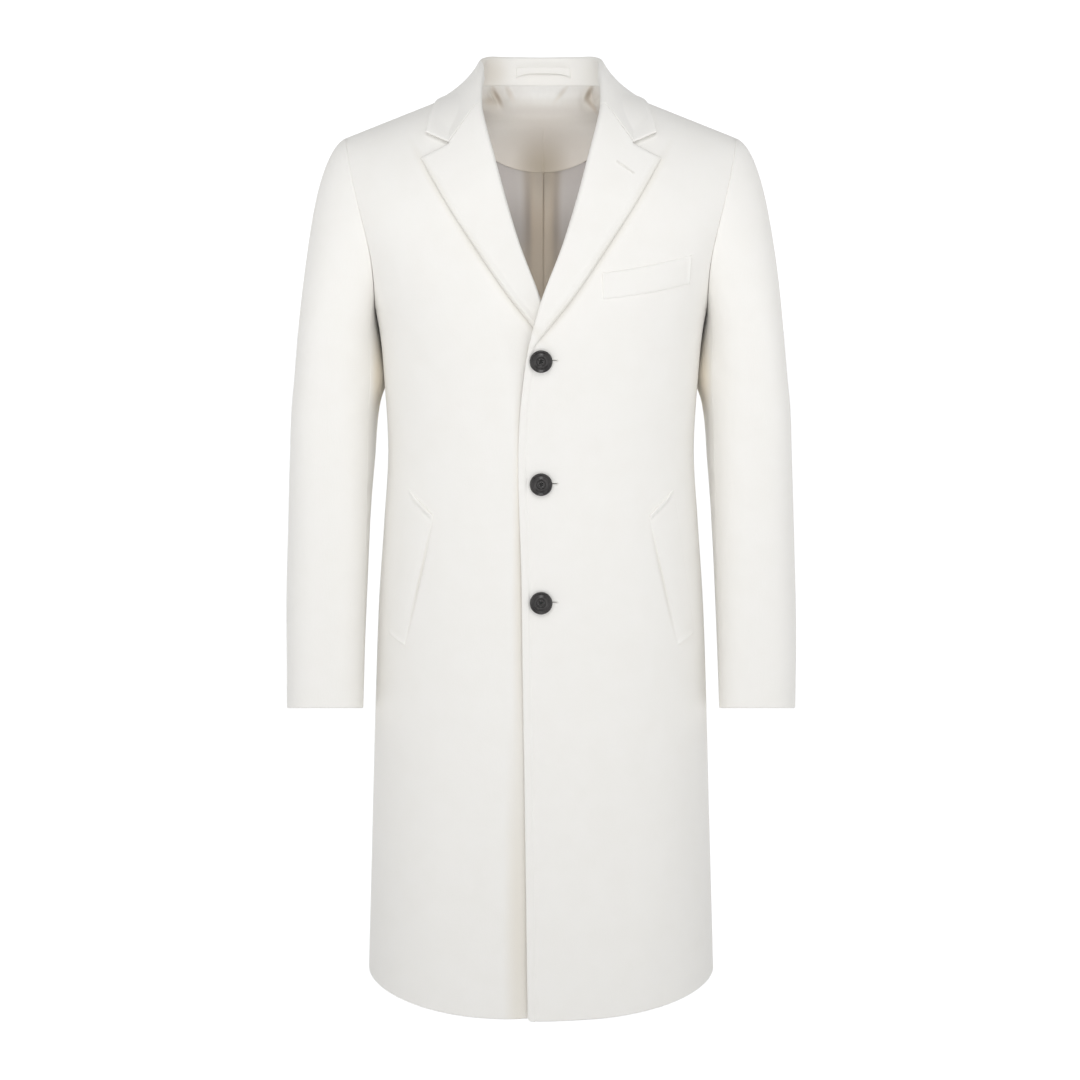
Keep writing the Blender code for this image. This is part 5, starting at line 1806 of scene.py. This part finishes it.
corners = [(x * FLOOR_HALF, y * FLOOR_HALF, FLOOR_Z) for x, y in ((-1, -1), (1, -1), (1, 1), (-1, 1))]
floor_mesh = bpy.data.meshes.new("floor")
floor_mesh.from_pydata(corners, [], [(0, 1, 2, 3)])
floor_mesh.materials.append(floor_look())
floor = linked("floor", floor_mesh)

# Soft light from all round, strongest from the front, and white behind the coat
COOL_WHITE = (0.995, 1.0, 1.005)
FRONT_LIGHT = 1.25
SIDE_LIGHT = 0.58
BACK_LIGHT = 1.20
world = bpy.data.worlds.new("studio")
bpy.context.scene.world = world
world.use_nodes = True
tree = world.node_tree
sky = tree.nodes["Background"]
axes = split_axes(tree, tree.nodes.new("ShaderNodeTexCoord").outputs["Generated"])
ahead = maths(tree, "MAXIMUM", maths(tree, "MULTIPLY", axes["Y"], -1.0), 0.0)
behind = maths(tree, "MAXIMUM", axes["Y"], 0.0)
level = 0.0
for way, strength in ((ahead, FRONT_LIGHT), (behind, BACK_LIGHT), (axes["X"], SIDE_LIGHT)):
    level = maths(tree, "ADD", level, maths(tree, "MULTIPLY", maths(tree, "POWER", way, 2.0), strength))
seen = tree.nodes.new("ShaderNodeLightPath").outputs["Is Camera Ray"]
tree.links.new(blend_colour(tree, seen, COOL_WHITE, (1.0, 1.0, 1.0)), sky.inputs["Color"])
tree.links.new(maths(tree, "MAXIMUM", level, seen), sky.inputs["Strength"])


def disk_light(name, place, tilt, size, power):
    """Round soft light; tilt turns it up from straight down, towards +Y."""
    lamp = bpy.data.lights.new(name, "AREA")
    lamp.shape = "DISK"
    lamp.size = size
    lamp.energy = power
    lamp.color = COOL_WHITE
    body = linked(name, lamp)
    body.location = place
    body.rotation_euler = (tilt, 0.0, 0.0)
    body.visible_camera = False


disk_light("high", place=(0.0, -2.0, 2.2), tilt=math.atan2(2.0, 2.5), size=1.6, power=20.8)
disk_light("inside", place=(0.0, 0.0, -0.14), tilt=math.radians(130), size=0.08, power=0.095)

# Camera: the size of a pixel is at the target, in an image of this width
CAMERA_TILT = math.radians(8.5)
CAMERA_DISTANCE = 3.8
CAMERA_TARGET = np.array([-0.0012, 0.0, -0.5228])
PIXEL = 0.0011625
IMAGE_WIDTH = 1080
SENSOR_WIDTH = 36.0
camera_data = bpy.data.cameras.new("camera")
camera_data.sensor_width = SENSOR_WIDTH
camera_data.lens = SENSOR_WIDTH * CAMERA_DISTANCE / (IMAGE_WIDTH * PIXEL)
camera = linked("camera", camera_data)
back_off = np.array([0.0, -math.cos(CAMERA_TILT), math.sin(CAMERA_TILT)]) * CAMERA_DISTANCE
camera.location = CAMERA_TARGET + back_off
camera.rotation_euler = (math.pi / 2 - CAMERA_TILT, 0.0, 0.0)
bpy.context.scene.camera = camera
bpy.context.scene.view_settings.view_transform = "Standard"
